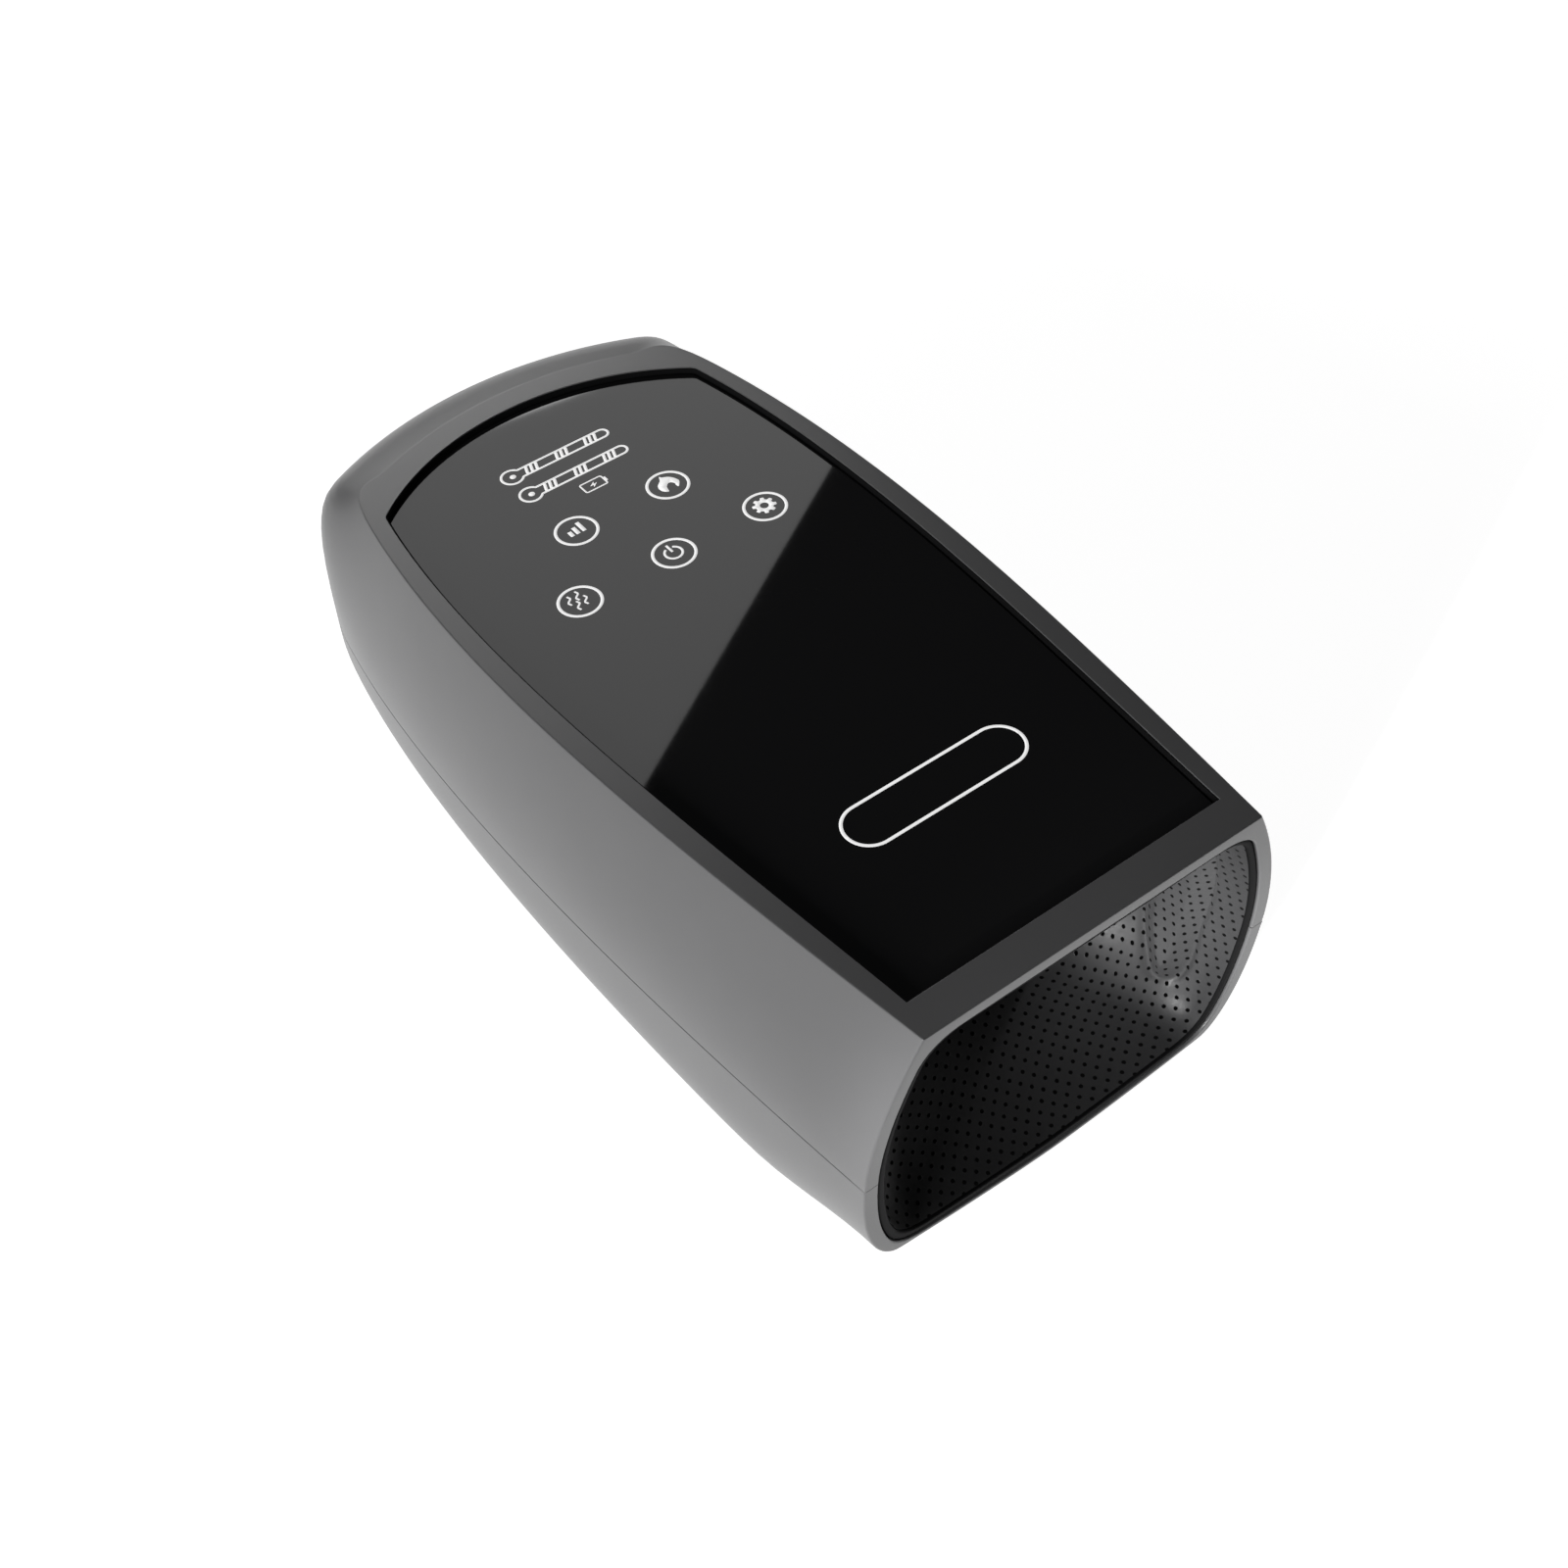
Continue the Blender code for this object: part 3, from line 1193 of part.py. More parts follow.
def build_valves():
    """Air manifold with a row of solenoid valves and their plungers."""
    block("air_manifold", (-MANIFOLD_WIDTH / 2, VALVE_Y - VALVE_DEPTH / 2, MANIFOLD_LOW),
          (MANIFOLD_WIDTH / 2, VALVE_Y + VALVE_DEPTH / 2, MANIFOLD_LOW + MANIFOLD_HEIGHT),
          "inner_plastic")
    for number in range(1, VALVE_COUNT + 1):
        x = valve_x(number)
        body = block(f"valve_body_{number}", (x - VALVE_WIDTH / 2, VALVE_Y - VALVE_DEPTH / 2,
                                              VALVE_LOW),
                     (x + VALVE_WIDTH / 2, VALVE_Y + VALVE_DEPTH / 2, VALVE_TOP), "steel")
        bore = rod(f"valve_bore_{number}", PLUNGER_RADIUS + RUNNING_CLEARANCE,
                   (x, VALVE_Y, VALVE_TOP - PLUNGER_DEPTH - PLUNGER_TRAVEL),
                   (x, VALVE_Y, VALVE_TOP + CUT_OVERRUN), "dark_plastic")
        cut(body, bore)
        foot = VALVE_TOP - PLUNGER_DEPTH + PLUNGER_TRAVEL
        cap = VALVE_TOP + PLUNGER_TRAVEL + CLEARANCE
        turned(f"valve_plunger_{number}",
               ((PLUNGER_RADIUS, foot), (PLUNGER_RADIUS, cap), (PLUNGER_CAP_RADIUS, cap),
                (PLUNGER_CAP_RADIUS, cap + PLUNGER_CAP_HEIGHT)),
               (x, VALVE_Y, 0.0), (0.0, 0.0, 1.0), "steel", PLUNGER_STEPS)


def build_boards():
    """Upright control board with the charging socket on its rear face."""
    block("control_board", (-CONTROL_BOARD_WIDTH / 2, BOARD_Y, BOARD_LOW),
          (CONTROL_BOARD_WIDTH / 2, BOARD_Y + BOARD_THICKNESS,
           BOARD_LOW + CONTROL_BOARD_HEIGHT), "board_green")
    start = BOARD_Y + BOARD_THICKNESS + CLEARANCE
    wall_y = HALF_LENGTH - WALL
    socket = block("charge_socket", (-SOCKET_WIDTH / 2, start,
                                     SOCKET_RISE - SOCKET_HEIGHT / 2),
                   (SOCKET_WIDTH / 2, wall_y - 2 * WALL, SOCKET_RISE + SOCKET_HEIGHT / 2),
                   "dark_plastic")
    nose = rod("socket_nose", SOCKET_NOSE_RADIUS, (0.0, start + CLEARANCE, SOCKET_RISE),
               (0.0, wall_y, SOCKET_RISE), "dark_plastic")
    bore = rod("socket_bore", SOCKET_BORE_RADIUS,
               (0.0, wall_y - SOCKET_BORE_DEPTH, SOCKET_RISE),
               (0.0, HALF_LENGTH, SOCKET_RISE), "dark_plastic")
    join(socket, nose)
    cut(socket, bore)


def build_vibrator():
    """Vibration motor with its off-centre weight, clipped to the lower tray."""
    vibrator_y = mix(TRAY_FRONT, TRAY_REAR, VIBRATOR_PLACE_SHARE)
    out = layer_radius(TRAY_OUT)(VIBRATOR_ANGLE, vibrator_y) + CLIP_WALL + 2 * CLEARANCE
    place = sleeve_point(VIBRATOR_ANGLE, vibrator_y, out + VIBRATOR_RADIUS)
    hole = SHAFT_RADIUS + RUNNING_CLEARANCE
    axis = (0.0, 1.0, 0.0)
    start = VIBRATOR_LENGTH / 2
    turned("vibration_motor", ((hole, -start), (VIBRATOR_RADIUS, -start),
                               (VIBRATOR_RADIUS, start), (hole, start), (hole, -start)),
           place, axis, "steel")
    front = place.y - start - 2 * CLEARANCE
    weight = rod("vibration_weight", SHAFT_RADIUS, (place.x, place.y + start, place.z),
                 (place.x, front - WEIGHT_LENGTH, place.z), "brass")
    lobe = rod("weight_tool", WEIGHT_RADIUS, (place.x, front, place.z),
               (place.x, front - WEIGHT_LENGTH, place.z), "brass")
    trim = block("weight_cutter", (place.x - VIBRATOR_RADIUS, front - 2 * WEIGHT_LENGTH,
                                   place.z + SHAFT_RADIUS),
                 (place.x + VIBRATOR_RADIUS, front + CUT_OVERRUN,
                  place.z + VIBRATOR_RADIUS), "dark_plastic")
    cut(lobe, trim)
    join(weight, lobe)
    clip = rod("motor_clip", VIBRATOR_RADIUS + CLEARANCE + CLIP_WALL,
               (place.x, place.y - CLIP_LENGTH / 2, place.z),
               (place.x, place.y + CLIP_LENGTH / 2, place.z), "inner_plastic")
    seat = rod("clip_cutter", VIBRATOR_RADIUS + CLEARANCE,
               (place.x, place.y - CLIP_LENGTH, place.z),
               (place.x, place.y + CLIP_LENGTH, place.z), "dark_plastic")
    cut(clip, seat)


def build_fasteners():
    """Four housing screws and four rubber feet."""
    for number, (x, y) in enumerate(screw_places(), 1):
        seat = seam_height(y) - SCREW_GRIP - CLEARANCE
        tip = seam_height(y) + SCREW_BITE
        turned(f"housing_screw_{number}",
               ((SCREW_HEAD_RADIUS, seat - SCREW_HEAD_HEIGHT), (SCREW_HEAD_RADIUS, seat),
                (SCREW_RADIUS, seat), (SCREW_RADIUS, tip - SCREW_RADIUS), (0.0, tip)),
               (x, y, 0.0), (0.0, 0.0, 1.0), "steel", SCREW_STEPS)
    for number, (x, y) in enumerate(foot_places(), 1):
        turned(f"rubber_foot_{number}",
               ((FOOT_RADIUS - FOOT_RECESS, 0.0), (FOOT_RADIUS, FOOT_RECESS),
                (FOOT_RADIUS, UNDERSIDE_HEIGHT + FOOT_RECESS - CLEARANCE)),
               (x, y, 0.0), (0.0, 0.0, 1.0), "rubber", FOOT_STEPS)


def smooth_route(guides):
    """Smooth curve drawn to its guide points, straight at both of its ends."""
    route = [guides[0]]
    for before, guide, after in zip(guides, guides[1:], guides[2:]):
        start, end = before.lerp(guide, 0.5), guide.lerp(after, 0.5)
        for step in range(1 if len(route) > 1 else 0, HOSE_BEND_STEPS + 1):
            share = step / HOSE_BEND_STEPS
            route.append(start.lerp(guide, share).lerp(guide.lerp(end, share), share))
    return route + [guides[-1]]


def hose(name, places):
    """Silicone hose along a smooth route past the given places."""
    curve = bpy.data.curves.new(name, "CURVE")
    curve.dimensions = "3D"
    curve.bevel_depth = HOSE_RADIUS
    curve.bevel_resolution = HOSE_BEVEL_RESOLUTION
    curve.use_fill_caps = True
    route = smooth_route([Vector(place) for place in places])
    spline = curve.splines.new("POLY")
    spline.points.add(len(route) - 1)
    for target, point in zip(spline.points, route):
        target.co = (*point, 1.0)
    item = bpy.data.objects.new(name, curve)
    bpy.context.scene.collection.objects.link(item)
    curve.materials.append(finish_material("hose_silicone"))
    return item


def build_hoses():
    """Silicone hoses from the pump and the valves to the airbags."""
    port_x = PUMP_LENGTH / 2 + PUMP_PORT_LENGTH + CLEARANCE
    manifold_z = MANIFOLD_LOW + MANIFOLD_HEIGHT / 2
    end_x = MANIFOLD_WIDTH / 2 + CLEARANCE
    lane = HOLDER_HALF_WIDTH + HOSE_GAP + HOSE_RADIUS
    turn_x = port_x + HOSE_GAP + HOSE_RADIUS
    hose("pump_hose", [(port_x, PUMP_Y, PUMP_Z), (turn_x, PUMP_Y, PUMP_Z),
                       (turn_x, VALVE_Y, manifold_z), (end_x, VALVE_Y, manifold_z)])
    rear = BAG_REAR + CLEARANCE
    middle = cavity_middle(BAG_REAR)
    edge = BAG_IN + BAG_EDGE_THICKNESS / 2
    valve_z = VALVE_LOW + VALVE_HEIGHT / 2
    over = PUMP_Z + PUMP_RADIUS + HOSE_RADIUS + CRADLE_WALL / 2
    front = VALVE_Y - VALVE_DEPTH / 2 - CLEARANCE
    turn_y = PUMP_Y + PUMP_HEAD_RADIUS + HOSE_GAP + HOSE_RADIUS
    x = valve_x(1)
    roof = middle + hand_radius(math.pi / 2, BAG_REAR, False) + edge
    hose("upper_hose", [(x, front, valve_z), (x, turn_y, valve_z), (x, turn_y, over),
                        (x, BAY_FRONT, over), (x, TRAY_REAR, roof), (x, rear, roof)])
    floor = middle - hand_radius(-math.pi / 2, BAG_REAR, False) - edge
    pass_y = TRAY_REAR + HOSE_GAP + HOSE_RADIUS
    inner_lane = end_x + HOSE_GAP + HOSE_RADIUS
    hose("lower_hose", [(-end_x, VALVE_Y, manifold_z), (-inner_lane, VALVE_Y, manifold_z),
                        (-lane, turn_y, manifold_z), (-lane, PUMP_Y, floor),
                        (-lane, pass_y, floor), (x, pass_y, floor), (x, rear, floor)])
    wing = hand_radius(0.0, BAG_REAR, False) + edge
    flank = valve_x(VALVE_COUNT) + VALVE_WIDTH / 2 + CLEARANCE
    for name, side in (("right_hose", 1), ("left_hose", -1)):
        hose(name, [(side * flank, VALVE_Y, valve_z), (side * turn_x, VALVE_Y, valve_z),
                    (side * turn_x, turn_y, over), (side * wing, PUMP_Y, over),
                    (side * wing, BAY_FRONT, middle), (side * wing, rear, middle)])


def main():
    """Build the whole massager."""
    clear_scene()
    cavity = as_cutter(build_cavity_cutter())
    build_upper_shell(cavity)
    build_lower_shell(cavity)
    build_deck()
    build_liner_frame()
    build_liner()
    build_layers()
    build_battery()
    build_pump()
    build_valves()
    build_boards()
    build_vibrator()
    build_fasteners()
    build_hoses()
    gather("hand_massager")


main()
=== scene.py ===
"""Looks of the hand massager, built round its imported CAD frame.

The CAD solids give every place and size. The housing halves, the touch panel with its
printed symbols, the perforated liner, its trim ring, the feet and the charging inlet are
drawn here again at a finer step, from the same curves. All lengths are metres, +Z is up and
the hand goes in at the front, which faces -Y.
"""

from __future__ import annotations

import logging
import math
from abc import ABC, abstractmethod
from dataclasses import dataclass, field
from enum import Enum
from typing import Any, Callable, Mapping, Sequence

import bmesh
import bpy
import numpy as np
from mathutils import Matrix, Vector

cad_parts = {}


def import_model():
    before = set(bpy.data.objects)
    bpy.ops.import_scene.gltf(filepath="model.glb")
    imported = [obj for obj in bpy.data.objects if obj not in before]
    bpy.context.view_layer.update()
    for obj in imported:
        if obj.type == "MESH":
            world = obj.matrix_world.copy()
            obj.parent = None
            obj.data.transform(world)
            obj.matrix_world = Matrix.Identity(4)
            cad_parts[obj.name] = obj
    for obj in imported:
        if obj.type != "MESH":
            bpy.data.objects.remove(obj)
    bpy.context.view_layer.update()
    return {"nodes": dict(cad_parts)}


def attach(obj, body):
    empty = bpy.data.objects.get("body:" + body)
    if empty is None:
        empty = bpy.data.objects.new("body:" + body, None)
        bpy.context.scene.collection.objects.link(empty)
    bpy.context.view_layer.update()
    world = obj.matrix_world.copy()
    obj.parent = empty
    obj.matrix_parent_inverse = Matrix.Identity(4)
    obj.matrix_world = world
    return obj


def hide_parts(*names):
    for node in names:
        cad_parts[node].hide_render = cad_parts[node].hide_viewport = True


LOG = logging.getLogger("hand_massager")
BODY = "massager_body"
MM = 0.001
FULL_TURN = 2 * math.pi
QUARTER_TURN = math.pi / 2
UP = Vector((0, 0, 1))
WHITE = "#ffffff"
# Noise detail of soft clouds and of fine grain
CLOUD_DETAIL = 3.0
GRAIN_DETAIL = 2.0
# Numbers of a Mix node's colour inputs and colour output
MIX_FIRST, MIX_SECOND, MIX_COLOUR = 6, 7, 2
# Cells along the straight front edge of the rim, the recess and the panel
FRONT_CELLS = 44
# Points along the belt where its widest share is looked for
PEAK_SAMPLES = 200
# Shortest edge and least facing that still count where the mouth's outline is worked out
SHORTEST_EDGE = 1e-7
LEAST_FACING = 1e-6

Point = tuple[float, float, float]
Plan = tuple[float, float]
Number = float | np.ndarray
Rows = list[list[int]]
Tree = bpy.types.NodeTree
Socket = bpy.types.NodeSocket
Item = bpy.types.Object


# Node and colour helpers

def linear_colour(code: str) -> tuple[float, float, float, float]:
    """Turn an sRGB hex colour into linear values.

    Args:
        code: colour such as "#6b6b6d".

    Returns:
        Red, green and blue in linear light, and an alpha of 1.
    """
    values = [int(code[place:place + 2], 16) / 255 for place in (1, 3, 5)]
    light = [value / 12.92 if value <= 0.04045 else ((value + 0.055) / 1.055) ** 2.4
             for value in values]
    return (light[0], light[1], light[2], 1.0)


def feed(tree: Tree, node: bpy.types.Node, values: Mapping[str | int, Any]) -> bpy.types.Node:
    """Give a node its values.

    Args:
        tree: the node's tree.
        node: the node.
        values: values by property name, or by the name or number of an input. An input whose
            value is a socket is linked to it.

    Returns:
        The same node.
    """
    for name, value in values.items():
        if isinstance(value, Socket):
            tree.links.new(value, node.inputs[name])
        elif isinstance(name, int) or name in node.inputs:
            node.inputs[name].default_value = value
        else:
            setattr(node, name, value)
    return node


def add_node(tree: Tree, kind: str,
             values: Mapping[str | int, Any] | None = None) -> bpy.types.Node:
    """Add a node of a kind, named without its "ShaderNode", and give it its values."""
    return feed(tree, tree.nodes.new(f"ShaderNode{kind}"), values or {})


def noise(tree: Tree, place: Socket, size: float, detail: float) -> Socket:
    """Noise whose cells have a real size."""
    return add_node(tree, "TexNoise", {"Vector": place, "Scale": 1 / size,
                                       "Detail": detail}).outputs["Fac"]


def ramp(tree: Tree, value: Socket, settings: Mapping[str | int, Any]) -> Socket:
    """Map a value from one range to another."""
    return add_node(tree, "MapRange", {**settings, "Value": value}).outputs["Result"]


def tones(tree: Tree, share: Socket, *pair: str | Socket) -> Socket:
    """Mix two colours, each given by its code or by a socket, by a share."""
    first, second = (linear_colour(tone) if isinstance(tone, str) else tone for tone in pair)
    return add_node(tree, "Mix", {"data_type": "RGBA", "Factor": share, MIX_FIRST: first,
                                  MIX_SECOND: second}).outputs[MIX_COLOUR]


def bump(tree: Tree, height: Socket, distance: float, strength: float,
         **others: Socket) -> Socket:
    """Raise the surface by a height."""
    return add_node(tree, "Bump", {"Height": height, "Distance": distance,
                                   "Strength": strength, **others}).outputs["Normal"]


def bare_tree(owner: bpy.types.ID) -> Tree:
    """Node tree of a material or a world, emptied of its first nodes."""
    owner.use_nodes = True
    owner.node_tree.nodes.clear()
    return owner.node_tree


# Finishes

class Finish(ABC):
    """A surface finish that makes its own procedural material once."""

    label: str

    @abstractmethod
    def dress(self, tree: Tree, shader: bpy.types.Node) -> None:
        """Fill the material's tree round its shader."""

    def material(self) -> bpy.types.Material:
        """Return the finish's material, made on first use."""
        found = bpy.data.materials.get(self.label)
        if found is not None:
            return found
        made = bpy.data.materials.new(self.label)
        made.use_nodes = True
        tree = made.node_tree
        self.dress(tree, tree.nodes["Principled BSDF"])
        return made


@dataclass(frozen=True)
class MouldedFinish(Finish):
    """Plain moulded, drawn or coated surface with a fine grain in colour, gloss and relief."""

    label: str
    colour: str
    tint: str
    roughness: float = 0.45
    roughness_swing: float = 0.06
    metallic: float = 0.0
    grain: float = 0.4 * MM
    relief: float = 0.02 * MM
    relief_strength: float = 0.6
    mottle: float = 18 * MM
    ior: float = 1.5
    coat: float = 0.0
    coat_roughness: float = 0.05
    sheen: float = 0.0
    glow: float = 0.0

    def dress(self, tree: Tree, shader: bpy.types.Node) -> None:
        """Mix two close tones, vary the gloss and raise a fine grain."""
        place = add_node(tree, "TexCoord").outputs["Object"]
        cloud = noise(tree, place, self.mottle, CLOUD_DETAIL)
        grit = noise(tree, place, self.grain, GRAIN_DETAIL)
        gloss = {"To Min": self.roughness - self.roughness_swing,
                 "To Max": self.roughness + self.roughness_swing}
        values = {"Metallic": self.metallic, "Coat Weight": self.coat,
                  "Coat Roughness": self.coat_roughness, "Sheen Weight": self.sheen,
                  "Base Color": tones(tree, cloud, self.colour, self.tint),
                  "Roughness": ramp(tree, grit, gloss),
                  "Normal": bump(tree, grit, self.relief, self.relief_strength)}
        if not self.metallic:
            values["IOR"] = self.ior
        # Emission paints a glow onto a surface that is no lamp
        if self.glow:
            values["Emission Color"] = linear_colour(self.colour)
            values["Emission Strength"] = self.glow
        feed(tree, shader, values)


@dataclass(frozen=True)
class PerforatedLeather(Finish):
    """Black synthetic leather with a pebble grain and rows of pin holes.

    The holes lie on a staggered grid. Their place comes from the piece's own attribute, which
    holds where each point lay on the flat leather, so the rows follow the sleeve.
    """

    label: str = "perforated_pu_leather"
    colour: str = "#363637"
    tint: str = "#3e3e3f"
    # Near-black colour of the holes: painted shade inside them
    hole_shade: str = "#010101"
    ior: float = 1.5
    sheen: float = 0.15
    specular: float = 0.5
    roughness: tuple[float, float] = (0.42, 0.58)
    pitch: float = 4.8 * MM
    hole: float = 0.62 * MM
    edge: float = 0.12 * MM
    dent: float = 0.12 * MM
    pebble: float = 0.9 * MM
    relief: float = 0.05 * MM
    relief_strength: float = 0.5
    mottle: float = 14 * MM
    attribute: str = "sleeve_place"

    def dress(self, tree: Tree, shader: bpy.types.Node) -> None:
        """Punch the staggered holes and raise the leather's grain between them."""
        land = self.land(tree)
        body = add_node(tree, "TexCoord").outputs["Object"]
        cells = {"feature": "SMOOTH_F1", "Vector": body, "Scale": 1 / self.pebble}
        pebbles = add_node(tree, "TexVoronoi", cells).outputs["Distance"]
        cloud = noise(tree, body, self.mottle, CLOUD_DETAIL)
        leather = tones(tree, cloud, self.colour, self.tint)
        grain = bump(tree, pebbles, self.relief, self.relief_strength)
        low, high = self.roughness
        feed(tree, shader, {
            "IOR": self.ior, "Sheen Weight": self.sheen,
            # The holes are painted black with no specular, as painted shade inside them; the
            # dent below is their real relief
            "Base Color": tones(tree, land, self.hole_shade, leather),
            "Specular IOR Level": ramp(tree, land, {"To Max": self.specular}),
            "Roughness": ramp(tree, pebbles, {"To Min": low, "To Max": high}),
            "Normal": bump(tree, land, self.dent, self.relief_strength, Normal=grain)})

    def land(self, tree: Tree) -> Socket:
        """Mask that is 0 in the holes of both grids and 1 between them."""
        place = add_node(tree, "Attribute", {"attribute_name": self.attribute})
        scaled = add_node(tree, "VectorMath", {"operation": "SCALE", "Scale": 1 / self.pitch,
                                               0: place.outputs["Vector"]})
        reach = []
        for shift in (0.0, 0.5):
            last = scaled
            for operation, offset in (("ADD", shift), ("FRACTION", 0.0), ("SUBTRACT", 0.5),
                                      ("LENGTH", 0.0)):
                last = add_node(tree, "VectorMath", {"operation": operation,
                                                     0: last.outputs["Vector"],
                                                     1: (offset, offset, 0.0)})
            reach.append(last.outputs["Value"])
        nearest = add_node(tree, "Math", {"operation": "MINIMUM", 0: reach[0], 1: reach[1]})
        return ramp(tree, nearest.outputs["Value"],
                    {"interpolation_type": "SMOOTHSTEP",
                     "From Min": (self.hole - self.edge) / self.pitch,
                     "From Max": (self.hole + self.edge) / self.pitch})


# ABS, spark-eroded mould: an even satin that takes soft highlights without mirroring
SATIN_ABS = MouldedFinish("satin_moulded_abs", "#636364", "#686869", 0.42, 0.05,
                          grain=0.35 * MM, relief=0.012 * MM, ior=1.53, coat=0.3,
                          coat_roughness=0.22)
# Screen-printed acrylic, polished: deep black that mirrors its surroundings
GLOSS_ACRYLIC = MouldedFinish("polished_black_acrylic", "#252526", "#262627", 0.025, 0.005,
                              grain=6 * MM, relief=0.0005 * MM, mottle=60 * MM, ior=1.49)
# White ink under the cover: flat and even, with a painted glow that makes it a little brighter
# than its surroundings
WHITE_INK = MouldedFinish("white_ink_painted_glow", "#f2f2f2", "#ededed", 0.5, 0.03,
                          grain=0.3 * MM, relief=0.002 * MM, glow=0.7)
# Soft-touch TPE, moulded: dull black edge that keeps a faint rounded highlight
TRIM_TPE = MouldedFinish("soft_touch_tpe", "#070708", "#0b0b0c", 0.78, 0.05,
                         grain=0.5 * MM, relief=0.02 * MM, ior=1.28)
# Silicone rubber, moulded: matte and slightly dusty
FOOT_RUBBER = MouldedFinish("moulded_silicone_rubber", "#1b1b1c", "#262627", 0.82, 0.05,
                            grain=0.6 * MM, relief=0.03 * MM, sheen=0.1)
# Nickel-plated brass contact, turned: bright and slightly warm
CONTACT_METAL = MouldedFinish("nickel_plated_brass", "#c9c4b8", "#d2cec4", 0.24, 0.05,
                              metallic=1.0, grain=0.2 * MM, relief=0.004 * MM)

SLOT_FINISHES: dict[str, MouldedFinish] = {
    # ABS, natural, moulded: warm off-white with a faint flow mottle
    "inner_plastic": MouldedFinish("natural_moulded_abs", "#c6c4bd", "#bdbab1", 0.5, 0.06),
    # ABS, black, moulded
    "dark_plastic": MouldedFinish("black_moulded_abs", "#202022", "#262628", 0.5, 0.06),
    # TPU film, welded: milky grey skin with a soft gloss
    "bag_film": MouldedFinish("welded_tpu_film", "#888c91", "#94989d", 0.36, 0.08,
                              grain=1.2 * MM, relief=0.04 * MM),
    # Polyimide film, laminated: glossy amber
    "heater_film": MouldedFinish("polyimide_film", "#b3722a", "#a5631f", 0.34, 0.06,
                                 grain=2.0 * MM, coat=0.3),
    # Low-carbon steel, zinc plated and drawn
    "steel": MouldedFinish("zinc_plated_steel", "#b4b6b8", "#a6a8aa", 0.32, 0.08,
                           metallic=1.0, grain=0.25 * MM),
    # Glass-epoxy board under green solder mask
    "board_green": MouldedFinish("green_solder_mask", "#1f6b3f", "#1a5f37", 0.4, 0.05,
                                 grain=0.8 * MM, coat=0.4),
    # PVC sleeve, heat-shrunk
    "cell_sleeve": MouldedFinish("shrunk_pvc_sleeve", "#2f5fa8", "#2a5699", 0.35, 0.05),
    # Acrylic light guide, frosted
    "guide_white": MouldedFinish("frosted_acrylic", "#e6e6e4", "#dededc", 0.55, 0.05,
                                 ior=1.49),
    # Silicone tube, extruded: milky with a soft gloss
    "hose_silicone": MouldedFinish("extruded_silicone_tube", "#d6d6d4", "#cdcdcb", 0.38, 0.06,
                                   ior=1.41),
    # Brass, turned
    "brass": MouldedFinish("turned_brass", "#c39a55", "#b98f4b", 0.32, 0.07, metallic=1.0,
                           grain=0.2 * MM),
    "rubber": FOOT_RUBBER,
    "liner_leather": TRIM_TPE,
    "panel_gloss": GLOSS_ACRYLIC,
    "housing_plastic": SATIN_ABS,
}


# Mesh drafting

def circle_turns(count: int) -> np.ndarray:
    """Angles of the points of a full circle."""
    return np.linspace(0, FULL_TURN, count + 1)[:-1]


def inner_shares(cells: int) -> np.ndarray:
    """Shares of the way from one end to the other, without the ends, as a column."""
    return (np.arange(1, cells) / cells)[:, None]


def even_shares(steps: int, with_end: bool = False) -> np.ndarray:
    """Shares of the way in even steps from 0, with or without the 1 at the end."""
    return np.arange(steps + with_end) / steps


def unit(vectors: np.ndarray) -> np.ndarray:
    """Vectors of length 1 in the same directions."""
    return vectors / np.linalg.norm(vectors, axis=-1, keepdims=True)


def turned_left(vectors: np.ndarray) -> np.ndarray:
    """Plane vectors turned a quarter to the left."""
    return np.column_stack((-vectors[:, 1], vectors[:, 0]))


def on_circle(turns: np.ndarray, radius: Number = 1.0, middle: Plan = (0.0, 0.0)) -> np.ndarray:
    """Points of a circle in the plane."""
    return np.column_stack((middle[0] + radius * np.cos(turns),
                            middle[1] + radius * np.sin(turns)))


def level_ring(turns: np.ndarray, radius: Number, height: float,
               middle: Plan = (0.0, 0.0)) -> np.ndarray:
    """Points of a ring that lies level."""
    return np.column_stack((on_circle(turns, radius, middle), np.full(len(turns), height)))


def upright_ring(turns: np.ndarray, radius: Number, y: float, height: float) -> np.ndarray:
    """Points of a ring that stands across the Y axis, with its middle at a height."""
    return level_ring(turns, radius, y, (0.0, height))[:, [0, 2, 1]]


